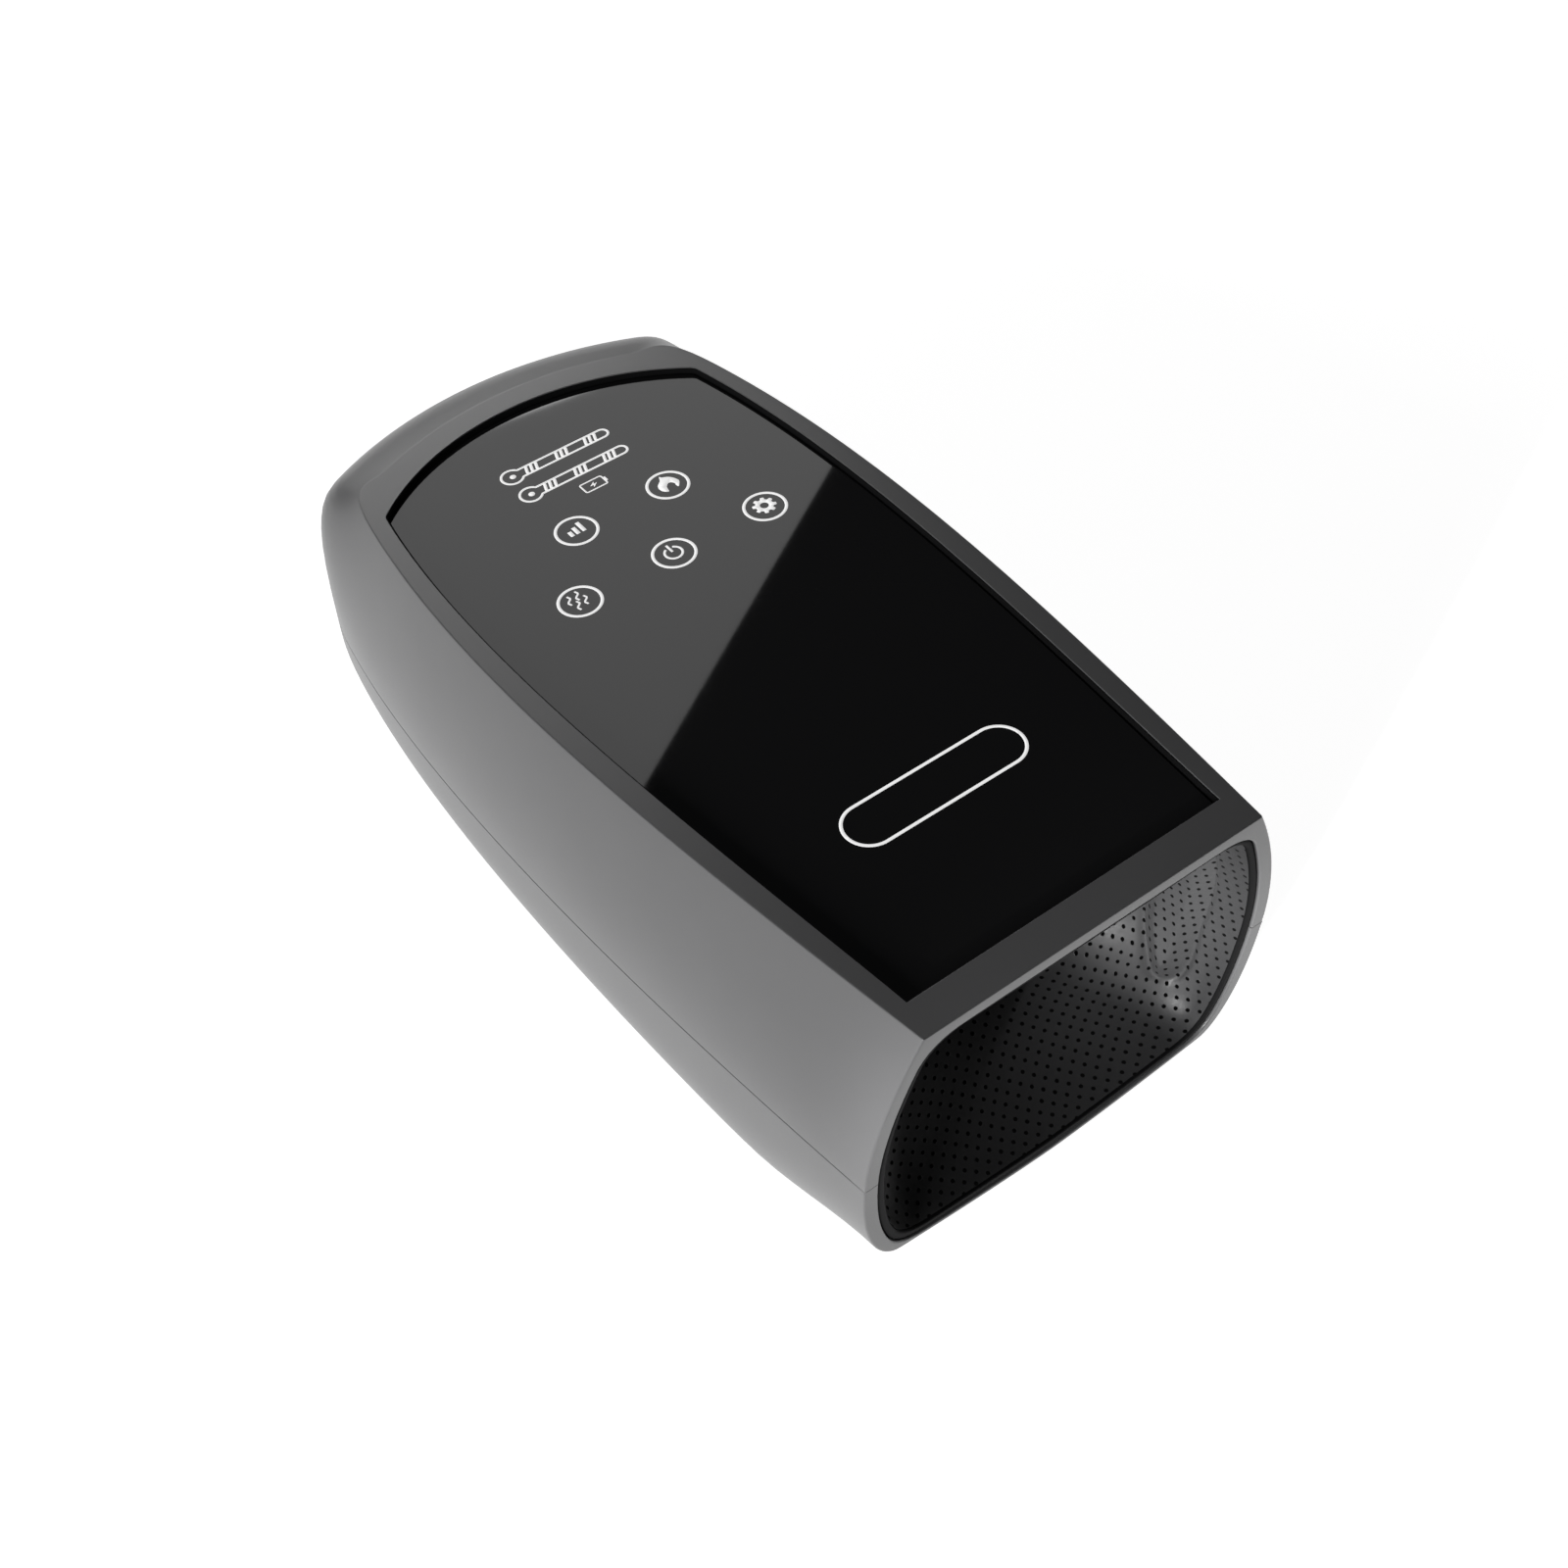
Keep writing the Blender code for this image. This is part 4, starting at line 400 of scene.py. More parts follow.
@dataclass
class MeshDraft:
    """Points, faces and edge weights of one piece before it becomes an object."""

    points: list[Point] = field(default_factory=list)
    faces: Rows = field(default_factory=list)
    weights: dict[tuple[int, int], float] = field(default_factory=dict)

    def row(self, places: Sequence[Sequence[float]]) -> list[int]:
        """Add a row of points and return their numbers."""
        start = len(self.points)
        self.points.extend(tuple(float(value) for value in place) for place in places)
        return list(range(start, len(self.points)))

    def strip(self, low: Sequence[int], high: Sequence[int], closed: bool = False) -> None:
        """Fill the band between two rows of equal length with quads."""
        count = len(low)
        for step in range(count if closed else count - 1):
            after = (step + 1) % count
            corners = [low[step], low[after], high[after], high[step]]
            kept = [corner for place, corner in enumerate(corners)
                    if corner not in corners[:place]]
            if len(kept) > 2:
                self.faces.append(kept)

    def loft(self, rows: Rows, closed: bool = False, looped: bool = False) -> None:
        """Fill the bands between rows in turn.

        Args:
            rows: rows of equal length.
            closed: whether each row is a ring.
            looped: whether the last row joins the first.
        """
        for low, high in zip(rows, rows[1:] + (rows[:1] if looped else [])):
            self.strip(low, high, closed)

    def drum(self, rings: Rows) -> None:
        """Fill the wall between two rings and close both."""
        self.loft(rings, closed=True)
        self.faces.extend(rings)

    def weigh(self, row: Sequence[int], weight: float, closed: bool = False) -> None:
        """Ask for a rounded edge along a row, as a share of the bevel's width."""
        count = len(row)
        for step in range(count if closed else count - 1):
            pair = (row[step], row[(step + 1) % count])
            self.weights[(min(pair), max(pair))] = weight

    def item(self, name: str) -> Item:
        """Turn the draft into a scene object with smooth faces.

        Args:
            name: the object's name.

        Returns:
            The new object, linked to the scene.
        """
        work = bmesh.new()
        verts = [work.verts.new(point) for point in self.points]
        layer = work.edges.layers.float.new("bevel_weight_edge")
        for face in self.faces:
            work.faces.new([verts[number] for number in face])
        for (one, other), weight in self.weights.items():
            edge = work.edges.get((verts[one], verts[other]))
            if edge is not None:
                edge[layer] = weight
        bmesh.ops.recalc_face_normals(work, faces=work.faces)
        mesh = bpy.data.meshes.new(name)
        work.to_mesh(mesh)
        work.free()
        mesh.shade_smooth()
        return placed(name, mesh)


def placed(name: str, data: bpy.types.ID) -> Item:
    """Make an object of some data and link it to the scene."""
    made = bpy.data.objects.new(name, data)
    bpy.context.scene.collection.objects.link(made)
    return made


def settle(item: Item) -> None:
    """Apply an object's modifiers to its mesh."""
    graph = bpy.context.evaluated_depsgraph_get()
    mesh = bpy.data.meshes.new_from_object(item.evaluated_get(graph),
                                           preserve_all_data_layers=True, depsgraph=graph)
    item.modifiers.clear()
    item.data = mesh


def round_edges(item: Item, width: float, segments: int = 3) -> None:
    """Round the weighted edges of an object.

    Args:
        item: object whose mesh carries edge weights.
        width: radius of an edge with a weight of 1.
        segments: faces across each rounded edge.
    """
    bevel = item.modifiers.new("edge_rounding", "BEVEL")
    bevel.limit_method = "WEIGHT"
    bevel.width = width
    bevel.segments = segments
    bevel.profile = 0.5
    bevel.use_clamp_overlap = True
    settle(item)


def keep_behind(item: Item, front: float) -> None:
    """Move the few points that a rounded edge has pushed past the front face back onto it."""
    for point in item.data.vertices:
        point.co.y = max(point.co.y, front)


def even_shading(item: Item, degrees: float = 35) -> None:
    """Keep flat faces flat beside rounded edges, and edges over the angle sharp."""
    item.data.set_sharp_from_angle(angle=math.radians(degrees))
    normals = item.modifiers.new("even_shading", "WEIGHTED_NORMAL")
    normals.keep_sharp = True
    settle(item)


def clad(item: Item, finish: Finish, slot: str, *nodes: str) -> None:
    """Give a piece its material and its body, and hide the CAD nodes that it stands for.

    Args:
        item: the piece.
        finish: its surface finish.
        slot: the record's material slot; not used.
        nodes: CAD nodes that the piece replaces.
    """
    item.data.materials.clear()
    item.data.materials.append(finish.material())
    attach(item, BODY)
    if nodes:
        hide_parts(*nodes)
    LOG.info("%s: %d faces, %s", item.name, len(item.data.polygons), finish.label)


def ring_of_trim(name: str, rings: Sequence[np.ndarray], *nodes: str) -> None:
    """Make a closed ring of dark trim from the outlines round its section.

    Args:
        name: the piece's name.
        rings: the outlines that the corners of its section follow.
        nodes: CAD nodes that the piece replaces.
    """
    draft = MeshDraft()
    draft.loft([draft.row(ring) for ring in rings], closed=True, looped=True)
    item = draft.item(name)
    even_shading(item, degrees=50)
    clad(item, TRIM_TPE, "dark_plastic", *nodes)


# Shared curves of the housing

class OutlineKind(Enum):
    """Plan outlines in shares of the half width and the length, from the front edge back."""

    CREASE = ((0.675, 0.0), (0.8075, 0.284), (0.941, 0.577), (0.781, 0.828), (0.55, 0.903),
              0.9348)
    BELT = ((0.860, 0.0), (0.981, 0.2676), (1.081, 0.617), (0.9375, 0.851), (0.725, 0.9515),
            1.0)
    BASE = ((0.6875, 0.0), (0.79, 0.25), (0.885, 0.6), (0.745, 0.80), (0.56, 0.893), 0.945)


def smooth_step(value: Number) -> Number:
    """Return the usual 0 to 1 ease of a value clamped to that range."""
    kept = np.clip(value, 0.0, 1.0)
    return kept * kept * (3 - 2 * kept)


def bezier(corners: Sequence[Sequence[float]], shares: np.ndarray) -> np.ndarray:
    """Return points of a cubic curve at the given shares."""
    start, first, second, end = (np.asarray(corner, float) for corner in corners)
    along = shares[:, None]
    rest = 1 - along
    return (start * rest ** 3 + first * 3 * rest * rest * along
            + second * 3 * rest * along * along + end * along ** 3)


def turned_round(half: np.ndarray) -> np.ndarray:
    """Mirror a half row, so that it runs from the right front round to the left front."""
    left = half[:-1][::-1].copy()
    left[:, 0] *= -1
    return np.vstack((half, left))


@dataclass(frozen=True)
class HousingForm:
    """Outer form of the massager, which every visible piece takes its place from."""

    length: float = 0.299
    width: float = 0.160
    height: float = 0.119
    top_drop_share: float = 0.3235
    seam_front_share: float = 0.5067
    seam_drop_share: float = 0.2513
    underside: float = 0.0052
    lip_rise: float = 0.0089
    lip_run: float = 0.045
    lip_sag: float = 0.0074
    lip_power: float = 1.5
    side_rounding: float = 1.9
    rear_rounding: float = 16.0
    front_tuck: float = 2.2
    body_tuck: float = 4.0
    tuck_run: float = 0.060
    corner_handle_share: float = 0.42
    side_steps: int = 40
    corner_steps: int = 14
    arc_steps: int = 16
    section_steps: int = 24
    ray_steps: int = 720
    coarse_steps: tuple[int, int, int] = (9, 4, 4)
    rim_top: float = 0.0046
    rim_side: float = 0.0044
    rim_bottom: float = 0.0018
    mouth_corner: float = 0.013
    mouth_middle_share: float = 0.5252
    panel_front_setback: float = 0.0118
    panel_rear_setback: float = 0.029
    panel_front_share: float = 0.61125
    panel_rear_share: float = 0.69125
    panel_arc_rise: float = 0.0205
    panel_handles: tuple[float, float, float, float] = (1.145, 0.318, 1.22, 0.705)
    panel_corner: float = 0.0014

    @property
    def front(self) -> float:
        """Place of the front face along Y."""
        return -self.length / 2

    @property
    def rear(self) -> float:
        """Place of the rearmost point along Y."""
        return self.length / 2

    @property
    def half_width(self) -> float:
        """Half of the overall width."""
        return self.width / 2

    @property
    def mouth_middle(self) -> float:
        """Height of the middle of the hand opening."""
        return self.height * self.mouth_middle_share

    def top(self, y: Number) -> Number:
        """Height of the sloping top plane."""
        return self.height * (1 - self.top_drop_share * (y - self.front) / self.length)

    def seam(self, y: Number) -> Number:
        """Height of the parting plane."""
        return self.height * (self.seam_front_share
                              - self.seam_drop_share * (y - self.front) / self.length)

    def bottom(self, x: Number, y: Number) -> Number:
        """Height of the underside, which rises to the corners of the front lip."""
        reach = OutlineKind.BELT.value[0][0] * self.half_width / self.belt_peak()
        across = np.minimum(np.abs(x) / reach, 1.0)
        sag = self.lip_sag * (1 - across ** self.lip_power)
        return self.underside + (self.lip_rise - sag) * (
            1 - smooth_step((y - self.front) / self.lip_run))

    def half_outline(self, kind: OutlineKind, inset: float = 0.0) -> np.ndarray:
        """Half plan outline from the front edge to the middle of the rear.

        Args:
            kind: which of the housing's outlines.
            inset: distance by which the outline is moved inwards.

        Returns:
            Rows of x and y.
        """
        front, fore, aft, corner, arc, rear = kind.value
        aspect = self.length / self.half_width
        side = bezier((front, fore, aft, corner), even_shares(self.side_steps))
        sagitta = (rear - arc[1]) * aspect
        radius = (arc[0] ** 2 + sagitta ** 2) / (2 * sagitta)
        start, end = np.array(corner), np.array(arc)
        reach = np.linalg.norm(start - end) * self.corner_handle_share
        leave = start - np.array(aft)
        arrive = np.array((1.0, -arc[0] / (radius - sagitta) / aspect))
        bend = bezier((start, start + unit(leave) * reach, end + unit(arrive) * reach, end),
                      even_shares(self.corner_steps))
        across = arc[0] * (1 - even_shares(self.arc_steps, with_end=True))
        drop = (radius - np.sqrt(radius ** 2 - across ** 2)) / aspect
        shares = np.vstack((side, bend, np.column_stack((across, rear - drop))))
        points = np.column_stack((shares[:, 0] * self.half_width / self.belt_peak(),
                                  self.front + shares[:, 1] * self.length))
        along = np.vstack((points[1:], points[-1:])) - np.vstack((points[:1], points[:-1]))
        along[-1] = (-1.0, 0.0)
        moved = points + turned_left(unit(along)) * inset
        moved[0, 1] = points[0, 1]
        moved[-1, 0] = 0.0
        return moved

    @staticmethod
    def belt_peak() -> float:
        """Largest share that the belt's side curve reaches."""
        belt = bezier(OutlineKind.BELT.value[:4], np.linspace(0, 1, PEAK_SAMPLES))
        return float(belt[:, 0].max())

    def column_turn(self) -> np.ndarray:
        """How far each column of a half outline has turned from the side to the rear."""
        side, corner, arc = self.coarse_steps
        places = np.concatenate((np.arange(self.side_steps) * side / self.side_steps,
                                 side + np.arange(self.corner_steps) * corner
                                 / self.corner_steps,
                                 side + corner + np.arange(self.arc_steps + 1) * arc
                                 / self.arc_steps))
        return np.asarray(smooth_step((places - side + 1) / (corner + 1)))

    def upper_row(self, share: float, inset: float = 0.0) -> np.ndarray:
        """Row of the upper skin, at a share of the way from the crease to the seam."""
        crease = self.half_outline(OutlineKind.CREASE, inset)
        belt = self.half_outline(OutlineKind.BELT, inset)
        turn = self.column_turn()
        power = np.exp((1 - turn) * math.log(self.side_rounding)
                       + turn * math.log(self.rear_rounding))
        place = crease + (belt - crease) * (1 - (1 - share) ** power)[:, None]
        height = (1 - share) * self.top(place[:, 1]) + share * self.seam(place[:, 1])
        return turned_round(np.column_stack((place, height)))

    def lower_row(self, turn: float, inset: float = 0.0, lift: float = 0.0,
                  drop: float = 0.0) -> np.ndarray:
        """Row of the lower skin, at an angle from the seam (0) to the underside (pi / 2)."""
        belt = self.half_outline(OutlineKind.BELT, inset)
        base = self.half_outline(OutlineKind.BASE, inset)
        ease = smooth_step((belt[:, 1] - self.front) / self.tuck_run)
        power = self.front_tuck + (self.body_tuck - self.front_tuck) * ease
        share = math.sin(turn) ** (2 / power)
        place = belt + (base - belt) * (1 - math.cos(turn))
        low = self.bottom(place[:, 0], place[:, 1]) + lift
        height = (1 - share) * (self.seam(place[:, 1]) - drop) + share * low
        return turned_round(np.column_stack((place, height)))

    def panel_row(self, grow: float) -> np.ndarray:
        """Plan outline of the touch panel, grown by a gap, with one point for each column."""
        front = self.front + self.panel_front_setback
        shoulder = self.rear - self.panel_rear_setback - self.panel_arc_rise
        narrow = self.half_width * self.panel_front_share
        wide = self.half_width * self.panel_rear_share
        fore_wide, fore_along, aft_wide, aft_along = self.panel_handles
        run = shoulder - front
        corners = ((narrow, front), (narrow * fore_wide, front + run * fore_along),
                   (wide * aft_wide, front + run * aft_along), (wide, shoulder))
        side = bezier(corners, even_shares(self.side_steps, with_end=True))
        side[:, 0] += grow
        side[0, 1] -= grow
        corner = side[-1]
        width, rise = wide + grow, self.panel_arc_rise + grow
        radius = (width ** 2 + rise ** 2) / (2 * rise)
        middle = shoulder + rise - radius
        reach = math.asin(width / radius) - self.panel_corner / radius
        turns = reach - reach * np.arange(self.arc_steps + 1) / self.arc_steps
        arc = np.column_stack((radius * np.sin(turns), middle + radius * np.cos(turns)))
        arc[-1, 0] = 0.0
        start = corner + unit(side[-2] - corner) * self.panel_corner
        shares = even_shares(self.corner_steps)[:, None]
        bend = (start * (1 - shares) ** 2 + corner * 2 * shares * (1 - shares)
                + arc[0] * shares ** 2)
        return turned_round(np.vstack((side[:-1], bend, arc)))

    def panel_ring(self, grow: float, depth: float) -> np.ndarray:
        """Closed outline of the touch panel, at a depth below the sloping top."""
        plan = self.panel_row(grow)
        loop = np.vstack((plan, plan[-1] + (plan[0] - plan[-1]) * inner_shares(FRONT_CELLS)))
        return np.column_stack((loop, self.top(loop[:, 1]) - depth))

    def mouth_table(self) -> tuple[np.ndarray, np.ndarray]:
        """Radius of the hand opening at each angle round its middle.

        Returns:
            Angles from 0 to a full turn, and the radius at each of them.
        """
        steps = self.section_steps
        rows = [self.upper_row(share)[0] for share in np.linspace(0, 1, steps)]
        rows += [self.lower_row(turn)[0] for turn in np.linspace(0, QUARTER_TURN, steps)[1:]]
        right = np.array([(row[0], row[2] - self.mouth_middle) for row in rows])
        across = right[-1, 0] * (1 - 2 * np.arange(1, steps) / steps)
        lip = np.column_stack((across, self.bottom(across, self.front) - self.mouth_middle))
        section = np.vstack((right, lip, right[::-1] * (-1, 1)))
        edges = np.roll(section, -1, axis=0) - section
        length = np.hypot(edges[:, 0], edges[:, 1])
        section, edges, length = (part[length > SHORTEST_EDGE]
                                  for part in (section, edges, length))
        normals = turned_left(edges) / length[:, None]
        normals *= np.sign((normals * section).sum(axis=1))[:, None]
        across = np.abs(normals[:, 0])
        above = normals[:, 1] > 0
        end = np.where(above, self.rim_top, self.rim_bottom)
        rim = end + (self.rim_side - end) * across ** np.where(above, 1.0, 2.0)
        reach = (normals * section).sum(axis=1) - rim - self.mouth_corner
        angles = np.linspace(0, FULL_TURN, self.ray_steps + 1)
        rays = on_circle(angles)[:-1]
        core = rays * self.first_crossing(rays @ normals.T, reach)[:, None]
        support = (core @ rays.T).max(axis=0) + self.mouth_corner
        radii = self.first_crossing(rays @ rays.T, support)
        return angles, np.append(radii, radii[0])

    @staticmethod
    def first_crossing(facing: np.ndarray, reach: np.ndarray) -> np.ndarray:
        """Distance along each ray to the first line that it meets."""
        return np.where(facing > LEAST_FACING, reach / np.maximum(facing, LEAST_FACING),
                        np.inf).min(axis=1)

    def mouth_ring(self, angles: np.ndarray, inset: Number, y: float) -> np.ndarray:
        """Points of the hand opening's outline at given angles, moved inwards by an inset."""
        radius = np.interp(np.mod(angles, FULL_TURN), *self.mouth_table()) - inset
        return upright_ring(angles, radius, y, self.mouth_middle)

    def mouth_angles(self, draft: MeshDraft, numbers: Sequence[int]) -> np.ndarray:
        """Angle of each of a draft's points round the opening's middle."""
        places = np.array([draft.points[number] for number in numbers])
        return np.arctan2(places[:, 2] - self.mouth_middle, places[:, 0])


# Housing halves

@dataclass
class HousingHalf:
    """What both halves share: how far their seam, face and mouth edges are rounded."""

    form: HousingForm
    seam_weight: float = 0.3
    face_weight: float = 0.7
    mouth_weight: float = 0.6
    edge_radius: float = 0.9 * MM

    def rounded(self, draft: MeshDraft, name: str) -> Item:
        """Make the draft an object with rounded edges that end at the front face."""
        item = draft.item(name)
        round_edges(item, self.edge_radius)
        keep_behind(item, self.form.front)
        return item

    def mouth_rows(self, draft: MeshDraft, face: list[int], depth: float) -> Rows:
        """Add the hand opening's front edge and the far edge of its wall.

        Args:
            draft: draft that receives the rows.
            face: outer row of the front face.
            depth: depth of the wall behind the front face.

        Returns:
            The outer row and the two new ones.
        """
        angles = self.form.mouth_angles(draft, face)
        edges = [draft.row(self.form.mouth_ring(angles, 0.0, self.form.front + back))
                 for back in (0.0, depth)]
        draft.weigh(edges[0], self.mouth_weight)
        return [face] + edges


@dataclass
class UpperHousing(HousingHalf):
    """Upper half: side skin, sloping rim, panel recess and the upper part of the front rim."""

    skin_shares: tuple[float, ...] = (1.0, 0.94, 0.87, 0.79, 0.71, 0.63, 0.55, 0.47, 0.4,
                                      0.33, 0.27, 0.215, 0.165, 0.12, 0.08, 0.05, 0.025, 0.0)
    lip_width: float = 1.4 * MM
    mouth_wall: float = 9.0 * MM
    panel_gap: float = 0.9 * MM
    recess_depth: float = 5.3 * MM
    shelf: float = 5.0 * MM
    crease_weight: float = 0.42
    recess_weight: float = 0.12

    def build(self) -> None:
        """Draft the skin, the rim with its recess and the front rim, and dress them."""
        form, draft = self.form, MeshDraft()
        lip = draft.row(form.upper_row(1.0, self.lip_width))
        skin = [draft.row(form.upper_row(share)) for share in self.skin_shares]
        draft.loft([lip] + skin)
        draft.weigh(skin[0], self.seam_weight)
        crease = skin[-1]
        right, left = (np.array(draft.points[crease[end]]) for end in (0, -1))
        front_edge = draft.row(left + (right - left) * inner_shares(FRONT_CELLS))
        rim = crease + front_edge
        recess = [draft.row(form.panel_ring(grow, depth)) for grow, depth in (
            (self.panel_gap, 0.0), (self.panel_gap, self.recess_depth),
            (-self.shelf, self.recess_depth))]
        draft.loft([rim] + recess, closed=True)
        draft.weigh(recess[0], self.recess_weight, closed=True)
        draft.weigh(rim, self.crease_weight, closed=True)
        sides = [[row[end] for row in skin] for end in (0, -1)]
        draft.loft(self.mouth_rows(draft, sides[0] + front_edge[::-1] + sides[1][::-1],
                                   self.mouth_wall))
        for side in sides:
            draft.weigh(side, self.face_weight)
        item = self.rounded(draft, "upper_housing")
        even_shading(item)
        clad(item, SATIN_ABS, "housing_plastic", "upper_shell")


@dataclass
class LowerHousing(HousingHalf):
    """Lower half with its floor, foot pockets, screw wells and the hole of the inlet."""

    skin_turns: int = 22
    skin_crowding: float = 1.35
    wall: float = 2.6 * MM
    rim_depth: float = 2.6 * MM
    seam_gap: float = 0.3 * MM
    floor_cells: int = 24
    foot_shares: tuple[Plan, ...] = ((0.56, 0.21), (0.56, 0.80))
    foot_pocket: float = 7.3 * MM
    foot_recess: float = 1.0 * MM
    screw_shares: tuple[Plan, ...] = ((0.715, 0.694), (0.5875, 0.848))
    well_radius: float = 3.2 * MM
    boss_radius: float = 4.8 * MM
    boss_overlap: float = 4.0 * MM
    screw_grip: float = 8.5 * MM
    overrun: float = 2.0 * MM
    inlet_height: float = 0.020
    inlet_hole: float = 4.5 * MM
    inlet_steps: int = 40
    post_steps: int = 48

    def places(self, shares: Sequence[Plan]) -> list[Plan]:
        """Mirrored plan places at shares of the half width and the length."""
        return [(side * self.form.half_width * wide, self.form.front + along * self.form.length)
                for wide, along in shares for side in (1, -1)]

    def skin(self, draft: MeshDraft, inset: float, lift: float, front: float) -> Rows:
        """Add one skin of the shell as rows from the seam to the floor's edge."""
        rows = []
        for step in range(self.skin_turns + 1):
            turn = QUARTER_TURN * (step / self.skin_turns) ** self.skin_crowding
            places = self.form.lower_row(turn, inset, lift, self.seam_gap)
            places[[0, -1], 1] = front
            rows.append(draft.row(places))
        draft.loft(rows)
        return rows

    def floor(self, draft: MeshDraft, edge: list[int], lift: float) -> list[int]:
        """Fill the floor inside an edge row with cross rows and return the front one."""
        middle = len(edge) // 2
        cross_rows = []
        for near, far in zip(edge[:middle], edge[::-1]):
            right, left = np.array(draft.points[near]), np.array(draft.points[far])
            inner = right + (left - right) * inner_shares(self.floor_cells)
            inner[:, 2] = self.form.bottom(inner[:, 0], inner[:, 1]) + lift
            cross_rows.append([near] + draft.row(inner) + [far])
        draft.loft(cross_rows)
        draft.faces.append(cross_rows[-1] + [edge[middle]])
        return cross_rows[0]

    def build(self) -> None:
        """Draft the closed shell, cut its holes and dress it."""
        draft, front = MeshDraft(), self.form.front
        outer = self.skin(draft, 0.0, 0.0, front)
        inner = self.skin(draft, self.wall, self.wall, front + self.rim_depth)
        fronts = [self.floor(draft, outer[-1], 0.0), self.floor(draft, inner[-1], self.wall)]
        draft.strip(outer[0], inner[0])
        face, back = ([row[0] for row in rows] + cross[1:-1] + [row[-1] for row in rows[::-1]]
                      for rows, cross in zip((outer, inner), fronts))
        rim = self.mouth_rows(draft, face, self.rim_depth) + [back]
        draft.loft(rim)
        draft.faces.extend([row[end] for row in rim] for end in (0, -1))
        draft.weigh(outer[0], self.seam_weight)
        draft.weigh(face, self.face_weight)
        item = self.rounded(draft, "lower_housing")
        self.cut_holes(item)
        even_shading(item)
        clad(item, SATIN_ABS, "housing_plastic", "lower_shell")

    def cut_holes(self, item: Item) -> None:
        """Add the screw bosses and cut wells, foot pockets and the inlet's hole."""
        bosses, holes = MeshDraft(), MeshDraft()
        form = self.form
        for place in self.places(self.screw_shares):
            seat = float(form.seam(place[1])) - self.screw_grip
            low = float(form.bottom(*place))
            self.add_post(bosses, place, low + self.wall / 2, seat + self.boss_overlap,
                          self.boss_radius)
            self.add_post(holes, place, low - self.overrun, seat, self.well_radius)
        for place in self.places(self.foot_shares):
            low = float(form.bottom(*place))
            self.add_post(holes, place, low - self.overrun, low + self.foot_recess,
                          self.foot_pocket)
        turns = circle_turns(self.inlet_steps)
        holes.drum([holes.row(upright_ring(turns, self.inlet_hole, y, self.inlet_height))
                    for y in (form.rear - 5 * self.wall, form.rear + self.wall)])
        for draft, operation in ((bosses, "UNION"), (holes, "DIFFERENCE")):
            tool = draft.item(f"lower_housing_{operation.lower()}")
            step = item.modifiers.new(operation, "BOOLEAN")
            step.operation = operation
            step.solver = "EXACT"
            step.object = tool
            settle(item)
            bpy.data.objects.remove(tool)

    def add_post(self, draft: MeshDraft, place: Plan, low: float, high: float,
                 radius: float) -> None:
        """Add an upright closed cylinder to a draft."""
        turns = circle_turns(self.post_steps)
        draft.drum([draft.row(level_ring(turns, radius, height, place))
                    for height in (low, high)])


# Turned pieces

def turned_piece(name: str, profile: Sequence[Plan], place: Point, axis: Vector = UP,
                 steps: int = 64) -> Item:
    """Spin a profile about an axis.

    Args:
        name: the piece's name.
        profile: radius and distance along the axis, from the first to the last point.
        place: the axis's origin.
        axis: its direction.
        steps: faces round the axis.

    Returns:
        The new object.
    """
    draft = MeshDraft()
    turns = circle_turns(steps)
    draft.loft([draft.row(level_ring(turns, radius, along)) if radius
                else draft.row([(0.0, 0.0, along)]) * steps for radius, along in profile],
               closed=True)
    item = draft.item(name)
    turn = UP.rotation_difference(axis).to_matrix().to_4x4()
    item.data.transform(Matrix.Translation(place) @ turn)
    even_shading(item, degrees=40)
    return item


@dataclass
class Feet:
    """Four turned rubber feet in their pockets."""

    lower: LowerHousing
    radius: float = 7.0 * MM
    height: float = 5.9 * MM
    groove: float = 0.35 * MM

    def build(self) -> None:
        """Turn each foot with a rounded rim and a shallow grip groove."""
        r, g = self.radius, self.groove
        profile = [(0.0, 0.0), (r * 0.42, 0.0), (r * 0.45, g), (r * 0.55, g), (r * 0.58, 0.0),
                   (r - 1.0 * MM, 0.0), (r - 0.6 * MM, 0.08 * MM), (r - 0.25 * MM, 0.35 * MM),
                   (r - 0.05 * MM, 0.8 * MM), (r, 1.3 * MM), (r, self.height),
                   (0.0, self.height)]
        for number, (x, y) in enumerate(self.lower.places(self.lower.foot_shares), 1):
            item = turned_piece(f"grip_foot_{number}", profile, (x, y, 0.0))
            clad(item, FOOT_RUBBER, "rubber", f"rubber_foot_{number}")


